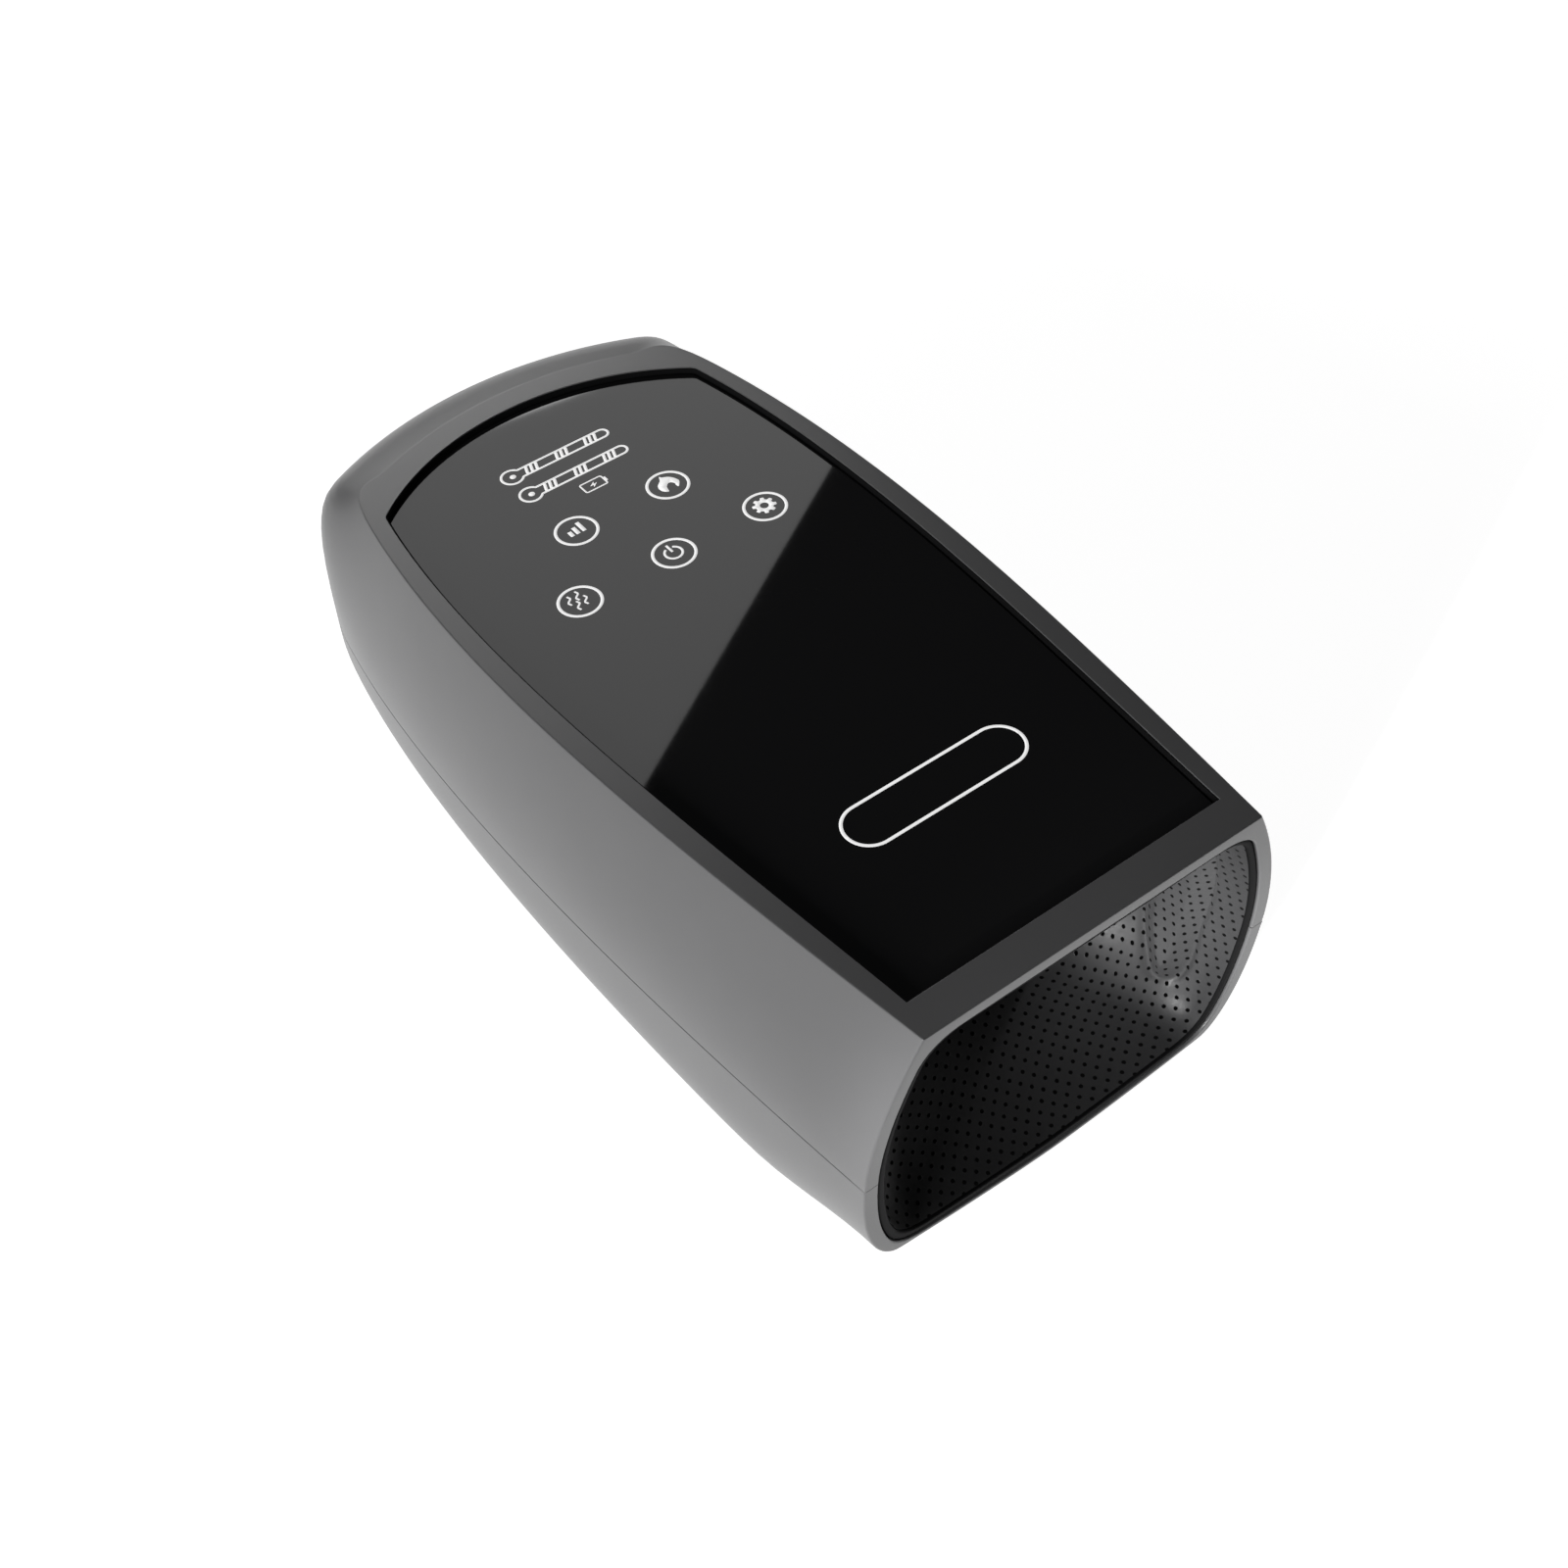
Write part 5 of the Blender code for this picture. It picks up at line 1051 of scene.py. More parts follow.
@dataclass
class ChargingInlet:
    """Round charging inlet in the rear wall, with its pin and contact sleeve."""

    form: HousingForm
    height: float = 0.020
    radius: float = 4.2 * MM
    bore: float = 3.1 * MM
    depth: float = 8.0 * MM
    face_setback: float = 2.6 * MM
    body_length: float = 12.0 * MM
    pin_radius: float = 0.65 * MM

    def build(self) -> None:
        """Turn the inlet's body, its contact sleeve and its pin."""
        place = (0.0, self.form.rear - self.face_setback, self.height)
        inward = Vector((0, -1, 0))
        r, b, p, deep = self.radius, self.bore, self.pin_radius, self.depth
        body = turned_piece("charging_inlet", [
            (0.0, self.body_length), (r, self.body_length), (r, 0.4 * MM),
            (r - 0.12 * MM, 0.12 * MM), (r - 0.4 * MM, 0.0), (b + 0.4 * MM, 0.0),
            (b + 0.1 * MM, 0.12 * MM), (b, 0.4 * MM), (b, deep), (0.0, deep)], place, inward)
        clad(body, SLOT_FINISHES["dark_plastic"], "dark_plastic", "charge_socket")
        sleeve = turned_piece("inlet_contact_sleeve", [
            (b - 0.02 * MM, 1.2 * MM), (b - 0.3 * MM, 1.3 * MM), (b - 0.3 * MM, deep),
            (b - 0.02 * MM, deep), (b - 0.02 * MM, 1.2 * MM)], place, inward)
        clad(sleeve, CONTACT_METAL, "steel")
        pin = turned_piece("inlet_pin", [
            (0.0, 1.6 * MM), (p * 0.5, 1.65 * MM), (p * 0.87, 1.9 * MM), (p, 2.3 * MM),
            (p, deep), (0.0, deep)], place, inward, 24)
        clad(pin, CONTACT_METAL, "steel")


# Hand cavity

@dataclass(frozen=True)
class SidePad:
    """Cushion on both side walls of the cavity, given by its middle and its half sizes."""

    height: float
    setback: float
    half_length: float
    half_angle: float
    rise: float
    lean: float = 0.0
    lean_start: float = 0.45
    roundness: float = 2.4
    least_share: float = 1e-3
    least_slope: float = 1.0
    wall_radius: float = 0.058

    def reach(self, angles: np.ndarray, depth: float) -> tuple[np.ndarray, np.ndarray]:
        """Place of each angle against the nearest pad at a depth into the cavity.

        Args:
            angles: angles round the cavity, 0 at the right.
            depth: distance behind the front face.

        Returns:
            The share of the way from the pad's middle to its edge, and the distance beyond the
            edge, which is negative on the pad.
        """
        power = self.roundness
        share, beyond = np.full(len(angles), np.inf), np.full(len(angles), np.inf)
        for middle, side in ((self.rise, 1), (math.pi - self.rise, -1)):
            turn = side * (np.mod(angles - middle + math.pi, FULL_TURN) - math.pi)
            over = turn / self.half_angle
            low = smooth_step((-over - self.lean_start) / (1 - self.lean_start))
            along = (depth - self.setback + self.lean * low) / self.half_length
            reach = np.maximum((np.abs(over) ** power + abs(along) ** power) ** (1 / power),
                               self.least_share)
            slope = np.hypot(over / (self.half_angle * self.wall_radius),
                             along / self.half_length) / reach
            nearer = reach < share
            share = np.where(nearer, reach, share)
            distance = (reach - 1) / np.maximum(slope, self.least_slope)
            beyond = np.where(nearer, distance, beyond)
        return share, beyond


@dataclass
class HandCavity:
    """Cushioned sleeve for the hand, with swelling side pads, and its trim ring."""

    form: HousingForm
    rear_bay: float = 0.0905
    fore_setback: float = 0.0445
    aft_margin: float = 0.019
    fore_shares: tuple[float, float, float] = (0.5875, 0.2269, 0.4706)
    aft_shares: tuple[float, float, float] = (0.5375, 0.1555, 0.4076)
    roundness: float = 2.6
    dome: float = 0.022
    trim_setback: float = 0.6 * MM
    trim_width: float = 2.0 * MM
    trim_swell: float = 0.7 * MM
    swell_middle: float = 0.3
    swell_slope: float = 0.9
    tuck_depth: float = 1.0 * MM
    trim_depth: float = 7.9 * MM
    funnel_start: float = 4.5 * MM
    play: float = 0.3 * MM
    cushion: SidePad = SidePad(4.5 * MM, 0.0575, 0.030, math.radians(30), math.radians(14))
    pad: SidePad = SidePad(2.4 * MM, 0.0205, 0.0080, math.radians(46), math.radians(12),
                           lean=4.0 * MM)
    pad_rise: float = 5.0 * MM
    weld_depth: float = 0.9 * MM
    weld_width: float = 0.85 * MM
    overlap: float = 0.15 * MM
    fan_angle: float = 2.0
    round_cells: int = 440
    fine_run: float = 0.034
    fine_cells: int = 68
    depth_cells: int = 70
    dome_cells: int = 14

    def __post_init__(self) -> None:
        """Work out the places along Y that follow from the housing's form."""
        self.end = self.form.rear - self.rear_bay
        self.fore = self.form.front + self.fore_setback
        self.aft = self.end - self.aft_margin
        self.throat = self.form.front + self.funnel_start
        self.angles = circle_turns(self.round_cells) + QUARTER_TURN
        self.mouth = np.interp(np.mod(self.angles, FULL_TURN), *self.form.mouth_table())
        lowness = smooth_step(self.swell_middle - self.swell_slope * np.sin(self.angles))
        self.trim_widths = self.trim_width + self.trim_swell * lowness

    def blended(self, y: float, part: int) -> float:
        """Width, height or middle share of the section between the fore and aft ones."""
        share = (y - self.fore) / (self.aft - self.fore)
        return self.fore_shares[part] + (self.aft_shares[part] - self.fore_shares[part]) * share

    def funnel(self, y: float) -> float:
        """How far the cavity has changed from the mouth's shape to its own."""
        return float(smooth_step((y - self.throat) / (self.fore - self.throat)))

    def middle(self, y: float) -> float:
        """Height of the cavity's axis."""
        inner = self.blended(max(y, self.fore), 2) * self.form.height
        return self.form.mouth_middle + (inner - self.form.mouth_middle) * self.funnel(y)

    def radii(self, y: float) -> np.ndarray:
        """Radius of the liner's inner face at each angle."""
        wide = self.blended(y, 0) * self.form.half_width
        tall = self.blended(y, 1) * self.form.height
        inner = ((np.abs(np.cos(self.angles)) / wide) ** self.roundness
                 + (np.abs(np.sin(self.angles)) / tall) ** self.roundness) ** (
                     -1 / self.roundness)
        mouth = self.mouth - self.trim_widths - self.play - self.overlap
        radius = mouth + (inner - mouth) * self.funnel(y)
        depth = y - self.form.front
        swell = np.maximum(1 - self.cushion.reach(self.angles, depth)[0] ** 2, 0.0) ** 2
        beyond = self.pad.reach(self.angles, depth)[1]
        raised = smooth_step(-beyond / self.pad_rise)
        weld = np.exp(-(beyond / self.weld_width) ** 2)
        return (radius - self.cushion.height * swell - self.pad.height * raised
                + self.weld_depth * weld)

    def build(self) -> None:
        """Build the liner and its trim ring."""
        self.build_liner()
        self.build_trim()

    def build_liner(self) -> None:
        """Sleeve whose front edge ends at the trim ring, closed by a dome at its end."""
        start = self.form.front + self.trim_setback + self.tuck_depth
        straight = self.end - self.dome
        fine = np.linspace(start, start + self.fine_run, self.fine_cells)
        coarse = np.linspace(start + self.fine_run, straight, self.depth_cells)[1:]
        sections = [(float(y), self.radii(float(y))) for y in np.concatenate((fine, coarse))]
        last = self.radii(straight)
        for step in range(1, self.dome_cells):
            turn = step / self.dome_cells * QUARTER_TURN
            sections.append((straight + self.dome * math.sin(turn), last * math.cos(turn)))
        rings = [upright_ring(self.angles, radius, y, self.middle(y)) for y, radius in sections]
        draft = MeshDraft()
        rows = [draft.row(ring) for ring in rings]
        tip = draft.row([(0.0, self.end, self.middle(self.end))]) * self.round_cells
        draft.loft(rows + [tip], closed=True)
        item = draft.item("perforated_liner")
        self.store_places(item, rings)
        clad(item, PerforatedLeather(), "liner_leather", "liner")

    def store_places(self, item: Item, rings: list[np.ndarray]) -> None:
        """Keep each point's place on the leather as it lay flat before it was formed.

        The sleeve narrows like a cone, so each ring is an arc of a fan, as wide as the ring is
        long. The fan's middle line runs along the floor and its seam along the roof.
        """
        loops = np.array(rings)
        around = np.linalg.norm(np.roll(loops, -1, axis=1) - loops, axis=2)
        travelled = np.cumsum(around, axis=1) - around
        length = around.sum(axis=1)
        depth = np.zeros(around.shape)
        depth[1:] = np.cumsum(np.linalg.norm(np.diff(loops, axis=0), axis=2), axis=0)
        fan = length / self.fan_angle
        turn = (travelled / length[:, None] - 0.5) * self.fan_angle
        flat = np.stack((fan[:, None] * np.sin(turn),
                         depth + fan[:, None] * (1 - np.cos(turn)), np.zeros(turn.shape)),
                        axis=2).reshape(-1, 3)
        places = np.vstack((flat, flat[-1:]))
        layer = item.data.attributes.new(PerforatedLeather.attribute, "FLOAT_VECTOR", "POINT")
        layer.data.foreach_set("vector", places.astype(np.float32).ravel())

    def build_trim(self) -> None:
        """Rounded ring that holds the liner's edge behind the front rim."""
        start = self.form.front + self.trim_setback
        outer, inner = self.play, self.play + self.trim_widths
        profile = ((outer, self.trim_depth), (outer, 0.7 * MM), (outer + 0.12 * MM, 0.3 * MM),
                   (outer + 0.4 * MM, 0.06 * MM), (outer + 0.8 * MM, 0.0),
                   (inner - 0.7 * MM, 0.0), (inner - 0.3 * MM, 0.08 * MM),
                   (inner - 0.08 * MM, 0.3 * MM), (inner, 0.7 * MM), (inner, self.trim_depth))
        ring_of_trim("liner_trim_ring", [self.form.mouth_ring(self.angles, inset, start + back)
                                         for inset, back in profile], "liner_frame")


# Touch panel and its symbols

def arc_path(centre: Plan, radius: float, steps: int, start: float, sweep: float) -> np.ndarray:
    """Points of an arc with both its ends."""
    return on_circle(start + np.linspace(0, sweep, steps + 1), radius, centre)


def circle_path(centre: Plan, radius: float, steps: int = 72) -> np.ndarray:
    """Points of a full circle."""
    return arc_path(centre, radius, steps, 0.0, FULL_TURN)[:-1]


def box_path(x: float, y: float, w: float, h: float, r: float) -> np.ndarray:
    """Outline of a box with round corners, given its middle and its half sizes."""
    corners = ((x + w - r, y + h - r, 0.0), (x - w + r, y + h - r, QUARTER_TURN),
               (x - w + r, y - h + r, math.pi), (x + w - r, y - h + r, 3 * QUARTER_TURN))
    return np.vstack([arc_path((cx, cy), r, 16, start, QUARTER_TURN)
                      for cx, cy, start in corners])


def smooth_loop(corners: Sequence[Plan], steps: int = 6) -> np.ndarray:
    """Closed smooth curve through its corners."""
    nodes = np.array(corners)
    points = []
    for number in range(len(nodes)):
        a, b, c, d = (nodes[(number + shift) % len(nodes)] for shift in (-1, 0, 1, 2))
        for step in range(steps):
            t = step / steps
            points.append(0.5 * (2 * b + (c - a) * t + (2 * a - 5 * b + 4 * c - d) * t ** 2
                                 + (3 * b - a - 3 * c + d) * t ** 3))
    return np.array(points)


@dataclass
class InkDraft:
    """One printed symbol, drawn in plan on the sloping cover."""

    form: HousingForm
    sink: float
    ink_height: float = 0.03 * MM
    draft: MeshDraft = field(default_factory=MeshDraft)

    def lift(self, plan: np.ndarray, height: float) -> list[int]:
        """Add plan points on the cover, at a height above its face."""
        level = self.form.top(plan[:, 1]) - self.sink + height
        return self.draft.row(np.column_stack((plan, level)))

    def stroke(self, path: np.ndarray, width: float, closed: bool = False) -> None:
        """Draw a line of even width along a path, with square ends."""
        ahead, behind = np.roll(path, -1, axis=0), np.roll(path, 1, axis=0)
        if not closed:
            ahead[-1], behind[0] = path[-1], path[0]
        side = turned_left(unit(ahead - behind)) * width / 2
        rows = self.band(path + side, path - side, closed)
        if not closed:
            self.draft.faces.extend([row[end] for row in rows] for end in (0, -1))

    def band(self, outer: np.ndarray, inner: np.ndarray, closed: bool = True) -> Rows:
        """Fill the band between two outlines with the same number of points."""
        rows = [self.lift(outline, height) for outline, height in (
            (outer, 0.0), (outer, self.ink_height), (inner, self.ink_height), (inner, 0.0))]
        self.draft.loft(rows, closed, looped=True)
        return rows

    def blot(self, outline: np.ndarray) -> None:
        """Fill a closed outline."""
        self.draft.drum([self.lift(outline, height) for height in (0.0, self.ink_height)])

    def finish(self, name: str) -> None:
        """Turn the symbol into its piece."""
        clad(self.draft.item(name), WHITE_INK, "guide_white")


@dataclass
class TouchPanel:
    """Glossy cover in the recess, a dark ring that paints the shade on the recess wall, and the
    white symbols printed on it.
    """

    form: HousingForm
    sink: float = 2.2 * MM
    thickness: float = 2.0 * MM
    edge_radius: float = 0.25 * MM
    gap: float = 0.9 * MM
    # Sizes of the dark ring that paints the shade on the recess wall
    shade_ring_play: float = 0.02 * MM
    shade_ring_width: float = 0.40 * MM
    shade_ring_sink: float = 0.4 * MM
    line: float = 0.95 * MM
    key_radius: float = 6.3 * MM

    def build(self) -> None:
        """Build the cover and every symbol."""
        self.build_cover()
        self.build_recess_shade_ring()
        self.build_keys()
        self.build_signs()

    def build_cover(self) -> None:
        """Flat cover with finely rounded edges."""
        draft = MeshDraft()
        rings = [draft.row(self.form.panel_ring(0.0, depth))
                 for depth in (self.sink, self.sink + self.thickness)]
        draft.drum(rings)
        draft.weigh(rings[0], 1.0, closed=True)
        item = draft.item("touch_cover")
        round_edges(item, self.edge_radius, 2)
        even_shading(item)
        clad(item, GLOSS_ACRYLIC, "panel_gloss", "touch_panel")

    def build_recess_shade_ring(self) -> None:
        """Dark ring that lines the recess wall from the cover's foot to just below the rim, as
        painted shade in the recess.
        """
        low, crest = self.sink + self.thickness, self.shade_ring_sink
        outer, inner = self.gap - self.shade_ring_play, self.gap - self.shade_ring_width
        # A ring of dark trim material, put in as painted shade on the recess wall
        ring_of_trim("recess_painted_shade_ring", [self.form.panel_ring(grow, depth) for grow, depth in (
            (outer, low), (outer, crest), (inner, crest), (inner, low))])

    def symbol(self) -> InkDraft:
        """Start a symbol."""
        return InkDraft(self.form, self.sink)

    def build_keys(self) -> None:
        """Print each touch key as a ring with its glyph."""
        keys: dict[str, tuple[Plan, Callable[[InkDraft, np.ndarray], None]]] = {
            "heat_symbol": ((17.5 * MM, 58.5 * MM), self.flame),
            "strength_symbol": ((-14.9 * MM, 58.7 * MM), self.bars),
            "power_symbol": ((1.2 * MM, 31.3 * MM), self.power),
            "mode_symbol": ((33.5 * MM, 31.0 * MM), self.gear),
            "vibration_symbol": ((-31.0 * MM, 31.6 * MM), self.waves)}
        for name, (centre, glyph) in keys.items():
            ink = self.symbol()
            ink.stroke(circle_path(centre, self.key_radius), self.line, closed=True)
            glyph(ink, np.array(centre))
            ink.finish(name)

    @staticmethod
    def flame(ink: InkDraft, centre: np.ndarray) -> None:
        """Flame for the heat key."""
        outline = smooth_loop([
            (0.1, 5.2), (0.6, 4.4), (1.6, 3.9), (2.6, 3.1), (3.4, 1.9), (3.9, 0.6),
            (4.0, -0.5), (3.4, -1.6), (2.3, -2.8), (2.0, -1.8), (2.2, -0.7), (1.6, 0.4),
            (0.7, 0.7), (-0.2, 0.1), (-0.9, -0.8), (-1.2, -2.0), (-1.5, -2.9), (-2.5, -2.3),
            (-3.2, -1.2), (-3.3, 0.3), (-2.7, 1.7), (-1.7, 2.6), (-0.8, 3.4), (-0.4, 4.3)])
        ink.blot(centre + outline * 0.94 * MM)

    @staticmethod
    def bars(ink: InkDraft, centre: np.ndarray) -> None:
        """Three rising bars for the strength key."""
        foot = -1.5
        for x, height in ((-2.1, 2.4), (-0.15, 3.4), (1.95, 4.7)):
            ink.stroke(centre + np.array([(x, foot), (x, foot + height)]) * MM, 1.25 * MM)

    @staticmethod
    def power(ink: InkDraft, centre: np.ndarray) -> None:
        """Open ring with an upright line for the power key."""
        arc = arc_path((0.0, 0.3 * MM), 2.65 * MM, 48, math.radians(115), math.radians(310))
        for path in (arc, np.array([(0.0, 0.8), (0.0, 4.3)]) * MM):
            ink.stroke(centre + path, 0.72 * MM)

    @staticmethod
    def gear(ink: InkDraft, centre: np.ndarray) -> None:
        """Toothed wheel for the mode key."""
        teeth, steepness, pitch, tooth, bore = 8, 2.5, 3.2, 0.45, 1.35
        turns = circle_turns(128)
        rays = on_circle(turns)
        outer = (pitch + tooth * np.clip(-np.cos(teeth * turns) * steepness, -1, 1)) * MM
        middle = centre + np.array((0.1, 0.5)) * MM
        ink.band(middle + rays * outer[:, None], middle + rays * bore * MM)

    @staticmethod
    def waves(ink: InkDraft, centre: np.ndarray) -> None:
        """Four wavy strokes for the vibration key."""
        rise = np.linspace(-2.0, 2.0, 21)
        for x, y in ((-2.3, 2.1), (-1.2, -1.2), (0.6, 2.6), (1.7, -0.4)):
            wave = np.column_stack((x + 0.45 * rise + 0.4 * np.sin(rise * 2.4), y + rise))
            ink.stroke(centre + wave * MM, 0.58 * MM)

    def build_signs(self) -> None:
        """Print the thermometers, the battery sign and the front frame."""
        length = 32.4 * MM
        self.thermometer("upper_thermometer_symbol", -16.1 * MM, 93.2 * MM, length)
        self.thermometer("lower_thermometer_symbol", -16.1 * MM, 82.3 * MM, length)
        self.battery("battery_symbol", 0.8 * MM, 73.7 * MM)
        ink = self.symbol()
        ink.stroke(box_path(0.3 * MM, -88.0 * MM, 28.4 * MM, 7.3 * MM, 7.29 * MM), self.line,
                   closed=True)
        ink.finish("front_frame_symbol")

    def thermometer(self, name: str, x: float, y: float, length: float) -> None:
        """Lying thermometer with three hatched marks inside its stem."""
        ink = self.symbol()
        bulb, stem, lean, pitch = 3.45 * MM, 2.0 * MM, 0.55 * MM, 1.75 * MM
        meet = math.asin(stem / bulb)
        head = arc_path((x, y), bulb, 36, meet, FULL_TURN - 2 * meet)
        tip = arc_path((x + length, y), stem, 18, -QUARTER_TURN, math.pi)
        ink.stroke(np.vstack((head, tip)), 0.8 * MM, closed=True)
        ink.blot(circle_path((x + 0.2 * MM, y), 1.0 * MM, 24))
        for middle in (0.212, 0.545, 0.868):
            for shift in (-pitch, 0.0, pitch):
                foot = x + length * middle + shift
                ink.stroke(np.array([(foot - lean, y - stem * 0.8),
                                     (foot + lean, y + stem * 0.8)]), self.line)
        ink.finish(name)

    def battery(self, name: str, x: float, y: float) -> None:
        """Small battery outline with its terminal and a charge mark."""
        ink = self.symbol()
        w, h = 3.75 * MM, 2.2 * MM
        ink.stroke(box_path(x, y, w, h, 0.6 * MM), 0.5 * MM, closed=True)
        ink.stroke(np.array([(x + w + 0.25 * MM, y), (x + w + 0.85 * MM, y)]), 2.0 * MM)
        bolt = np.array([(0.6, 1.2), (-1.3, -0.2), (-0.1, -0.15), (-0.6, -1.2), (1.3, 0.25),
                         (0.1, 0.15)]) * MM
        ink.blot(np.array((x, y)) + bolt)
        ink.finish(name)


# Pieces that keep their CAD shape

def dress_inner_works(nodes: Mapping[str, Item]) -> None:
    """Give every CAD node the finish of its slot."""
    for name, node in sorted(nodes.items()):
        slot = node.data.materials[0].name.split(".")[0] if node.data.materials else ""
        finish = SLOT_FINISHES.get(slot, SLOT_FINISHES["inner_plastic"])
        node.data.materials.clear()
        node.data.materials.append(finish.material())
        LOG.info("%s keeps its CAD shape, %s", name, finish.label)


# Studio

def facing(azimuth: float, elevation: float) -> Vector:
    """Direction from the object at an azimuth (0 is the rear) and an elevation in degrees."""
    turn, rise = math.radians(azimuth), math.radians(elevation)
    return Vector((math.sin(turn) * math.cos(rise), math.cos(turn) * math.cos(rise),
                   math.sin(rise)))


@dataclass
class Studio:
    """Pale floor, soft lamps, graded surroundings and the photograph's camera."""

    form: HousingForm
    camera_place: Point = (-0.225916, -0.328897, 0.533258)
    azimuth: float = math.radians(-36.5028)
    elevation: float = math.radians(52.2686)
    focal_pixels: float = 2145.69
    photo_pixels: float = 1600.0
    sensor: float = 36.0
    clip_start: float = 0.01
    floor_rings: tuple[float, ...] = (0.3, 0.8, 2.0, 8.0)
    floor_steps: int = 96
    floor_glow: float = 0.92
    paper_grain: float = 3 * MM
    paper_relief: float = 0.02 * MM
    tent_strength: float = 0.3
    tent_band: Plan = (0.12, 0.40)
    tent_tones: tuple[str, str] = ("#fafafa", "#2c2c2c")
    box_distance: float = 1.6
    card_size: Plan = (0.70, 0.50)
    card_radiance: float = 1.3
    card_reach: float = 0.185
    card_edge: Point = (-0.81270, -0.10573, 0.57301)
    card_facing: Point = (0.364, 0.676, 0.641)
    card_corner: Point = (0.725, 1.103, 0.865)
    spot_power: float = 135.0
    spot_angle: float = math.radians(4.2)
    spot_softness: float = 0.025
    spot_from: Plan = (-113.0, 13.0)
    spot_distance: float = 1.4
    spot_target: Point = (0.062, -0.134, 0.057)

    def build(self) -> None:
        """Build the floor, the surroundings, the lamps and the camera."""
        self.build_floor()
        self.build_surroundings()
        self.build_lamps()
        self.build_spot()
        self.build_card()
        self.build_camera()

    def build_floor(self) -> None:
        """Pale matte floor that looks near white and keeps the object's shadow."""
        draft = MeshDraft()
        turns = circle_turns(self.floor_steps)
        rings = [draft.row(level_ring(turns, radius, 0.0)) for radius in self.floor_rings]
        draft.faces.append(rings[0])
        draft.loft(rings, closed=True)
        floor = draft.item("studio_floor")
        paper = bpy.data.materials.new("matte_paper_floor")
        tree = bare_tree(paper)
        place = add_node(tree, "TexCoord").outputs["Object"]
        fibres = noise(tree, place, self.paper_grain, GRAIN_DETAIL)
        sheet = add_node(tree, "BsdfDiffuse", {
            "Color": linear_colour("#cfcfcf"),
            "Normal": bump(tree, fibres, self.paper_relief, 1.0)})
        glow = add_node(tree, "Emission", {"Color": linear_colour(WHITE),
                                           "Strength": self.seen_share(tree)})
        both = add_node(tree, "AddShader", {0: sheet.outputs[0], 1: glow.outputs[0]})
        add_node(tree, "OutputMaterial", {"Surface": both.outputs[0]})
        floor.data.materials.append(paper)

    def seen_share(self, tree: Tree) -> Socket:
        """Strength of the floor's glow, for camera, glossy and transmission rays alone."""
        path = add_node(tree, "LightPath").outputs
        seen = path["Is Camera Ray"]
        for ray in ("Is Glossy Ray", "Is Transmission Ray"):
            seen = add_node(tree, "Math", {"operation": "MAXIMUM", 0: seen,
                                           1: path[ray]}).outputs[0]
        return add_node(tree, "Math", {"operation": "MULTIPLY", 0: seen,
                                       1: self.floor_glow}).outputs[0]

    def build_surroundings(self) -> None:
        """World that is pale at the horizon and dim overhead, as in a light tent."""
        world = bpy.data.worlds.new("light_tent")
        bpy.context.scene.world = world
        tree = bare_tree(world)
        around = add_node(tree, "TexCoord").outputs["Generated"]
        rise = add_node(tree, "SeparateXYZ", {"Vector": around}).outputs["Z"]
        low, high = self.tent_band
        share = ramp(tree, rise, {"interpolation_type": "SMOOTHSTEP", "From Min": low,
                                  "From Max": high})
        light = add_node(tree, "Background", {"Strength": self.tent_strength,
                                              "Color": tones(tree, share, *self.tent_tones)})
        white = add_node(tree, "Background", {"Color": linear_colour(WHITE)})
        path = add_node(tree, "LightPath").outputs["Is Camera Ray"]
        shown = add_node(tree, "MixShader", {0: path, 1: light.outputs[0],
                                             2: white.outputs[0]})
        add_node(tree, "OutputWorld", {"Surface": shown.outputs[0]})

    @staticmethod
    def lamp(name: str, place: Vector, axes: tuple[Vector, Vector, Vector], size: Plan,
             radiance: float) -> None:
        """Add a soft rectangular lamp.

        Args:
            name: the lamp's name.
            place: its middle.
            axes: its width, its height and the direction away from what it lights.
            size: its width and height.
            radiance: how bright its face is, where 1 is white.
        """
        data = bpy.data.lights.new(name, "AREA")
        data.shape = "RECTANGLE"
        data.size, data.size_y = size
        data.energy = radiance * math.pi * size[0] * size[1]
        item = placed(name, data)
        item.matrix_world = Matrix.Translation(place) @ Matrix(axes).transposed().to_4x4()
        item.visible_camera = False

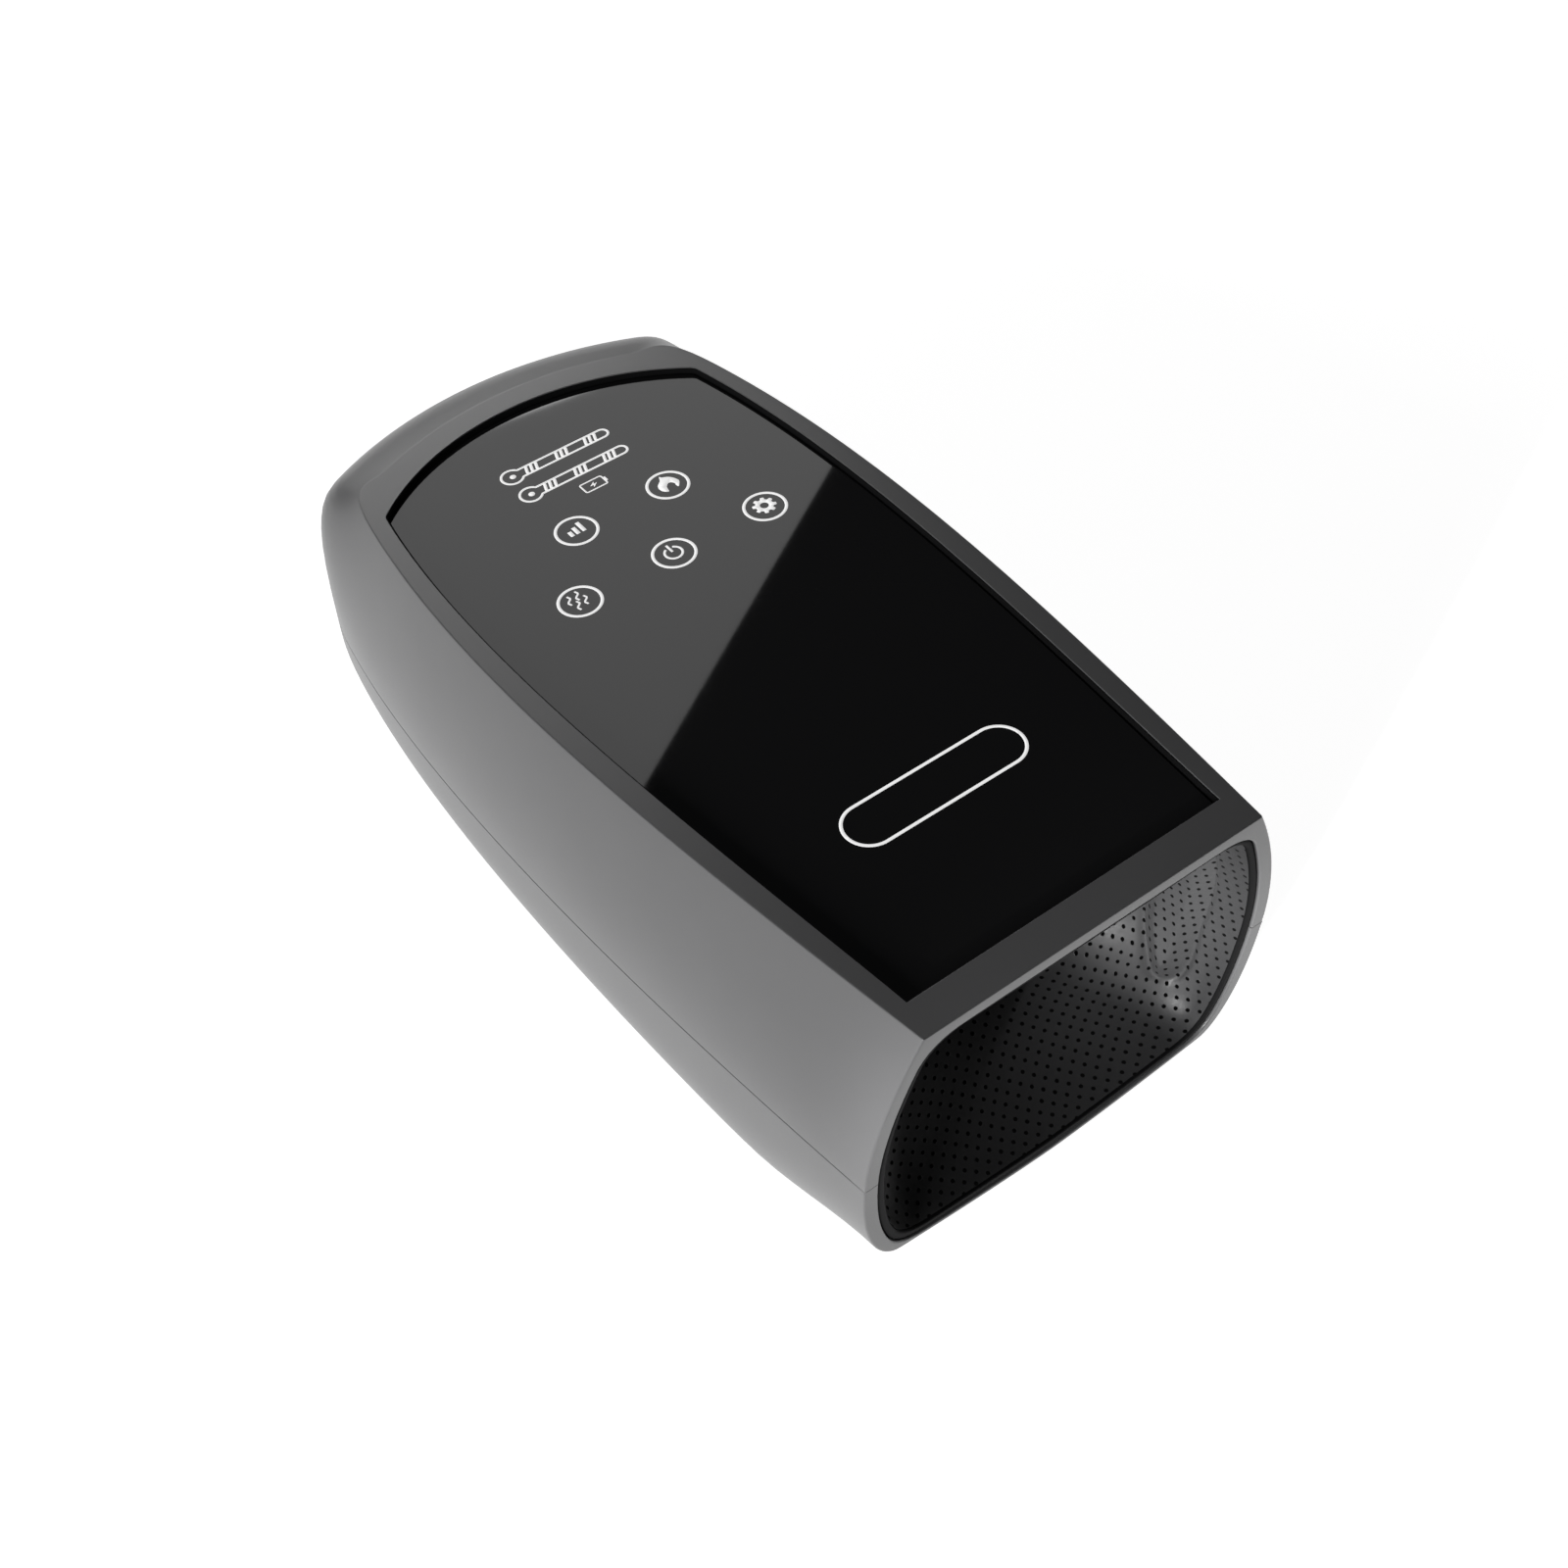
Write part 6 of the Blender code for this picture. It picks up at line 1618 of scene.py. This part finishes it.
    def build_lamps(self) -> None:
        """Soft boxes at the left and the rear that face the middle of the object."""
        middle = Vector((0.0, 0.0, self.form.height / 2))
        for name, azimuth, elevation, size, radiance in (
                ("left_box", -106.0, 14.0, (0.9, 0.6), 8.6),
                ("low_left_box", -92.0, 6.0, (0.9, 0.3), 3.0),
                ("rear_box", 9.0, 20.0, (0.9, 0.45), 2.75)):
            away = facing(azimuth, elevation)
            side = UP.cross(away).normalized()
            self.lamp(name, middle + away * self.box_distance, (side, away.cross(side), away),
                      size, radiance)

    def build_spot(self) -> None:
        """Narrow soft spot from the left front that reaches the right wall of the cavity."""
        data = bpy.data.lights.new("cavity_spot", "SPOT")
        data.energy = self.spot_power
        data.spot_size = self.spot_angle
        data.spot_blend = 1.0
        data.shadow_soft_size = self.spot_softness
        item = placed("cavity_spot", data)
        away = facing(*self.spot_from)
        item.location = Vector(self.spot_target) + away * self.spot_distance
        item.rotation_euler = away.to_track_quat("Z", "Y").to_euler()

    def build_card(self) -> None:
        """White card behind the object, whose lower edge the glossy panel shows as a line."""
        away = Vector(self.card_facing).normalized()
        across = away.cross(Vector(self.card_edge)).normalized()
        edge = across.cross(away).normalized()
        place = (Vector(self.card_corner) + edge * self.card_reach
                 - across * self.card_size[1] / 2)
        self.lamp("light_card", place, (edge, across, away), self.card_size,
                  self.card_radiance)

    def build_camera(self) -> None:
        """Camera at the photograph's place and angle."""
        data = bpy.data.cameras.new("photo_camera")
        data.sensor_width = self.sensor
        data.lens = self.focal_pixels / self.photo_pixels * self.sensor
        data.clip_start = self.clip_start
        camera = placed("photo_camera", data)
        az, el = self.azimuth, self.elevation
        right = Vector((math.cos(az), math.sin(az), 0.0))
        back = Vector((math.sin(az) * math.cos(el), -math.cos(az) * math.cos(el),
                       math.sin(el)))
        turn = Matrix((right, back.cross(right), back)).transposed().to_4x4()
        camera.matrix_world = Matrix.Translation(self.camera_place) @ turn
        bpy.context.scene.camera = camera


def main() -> None:
    """Load the frame, build every sub-assembly and set up the studio."""
    logging.basicConfig(level=logging.INFO, format="%(message)s")
    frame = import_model()
    form = HousingForm()
    dress_inner_works(frame["nodes"])
    lower = LowerHousing(form)
    for part in (UpperHousing(form), lower, Feet(lower), ChargingInlet(form), HandCavity(form),
                 TouchPanel(form), Studio(form)):
        part.build()
    bpy.context.scene.view_settings.view_transform = "Standard"


if __name__ == "__main__":
    main()
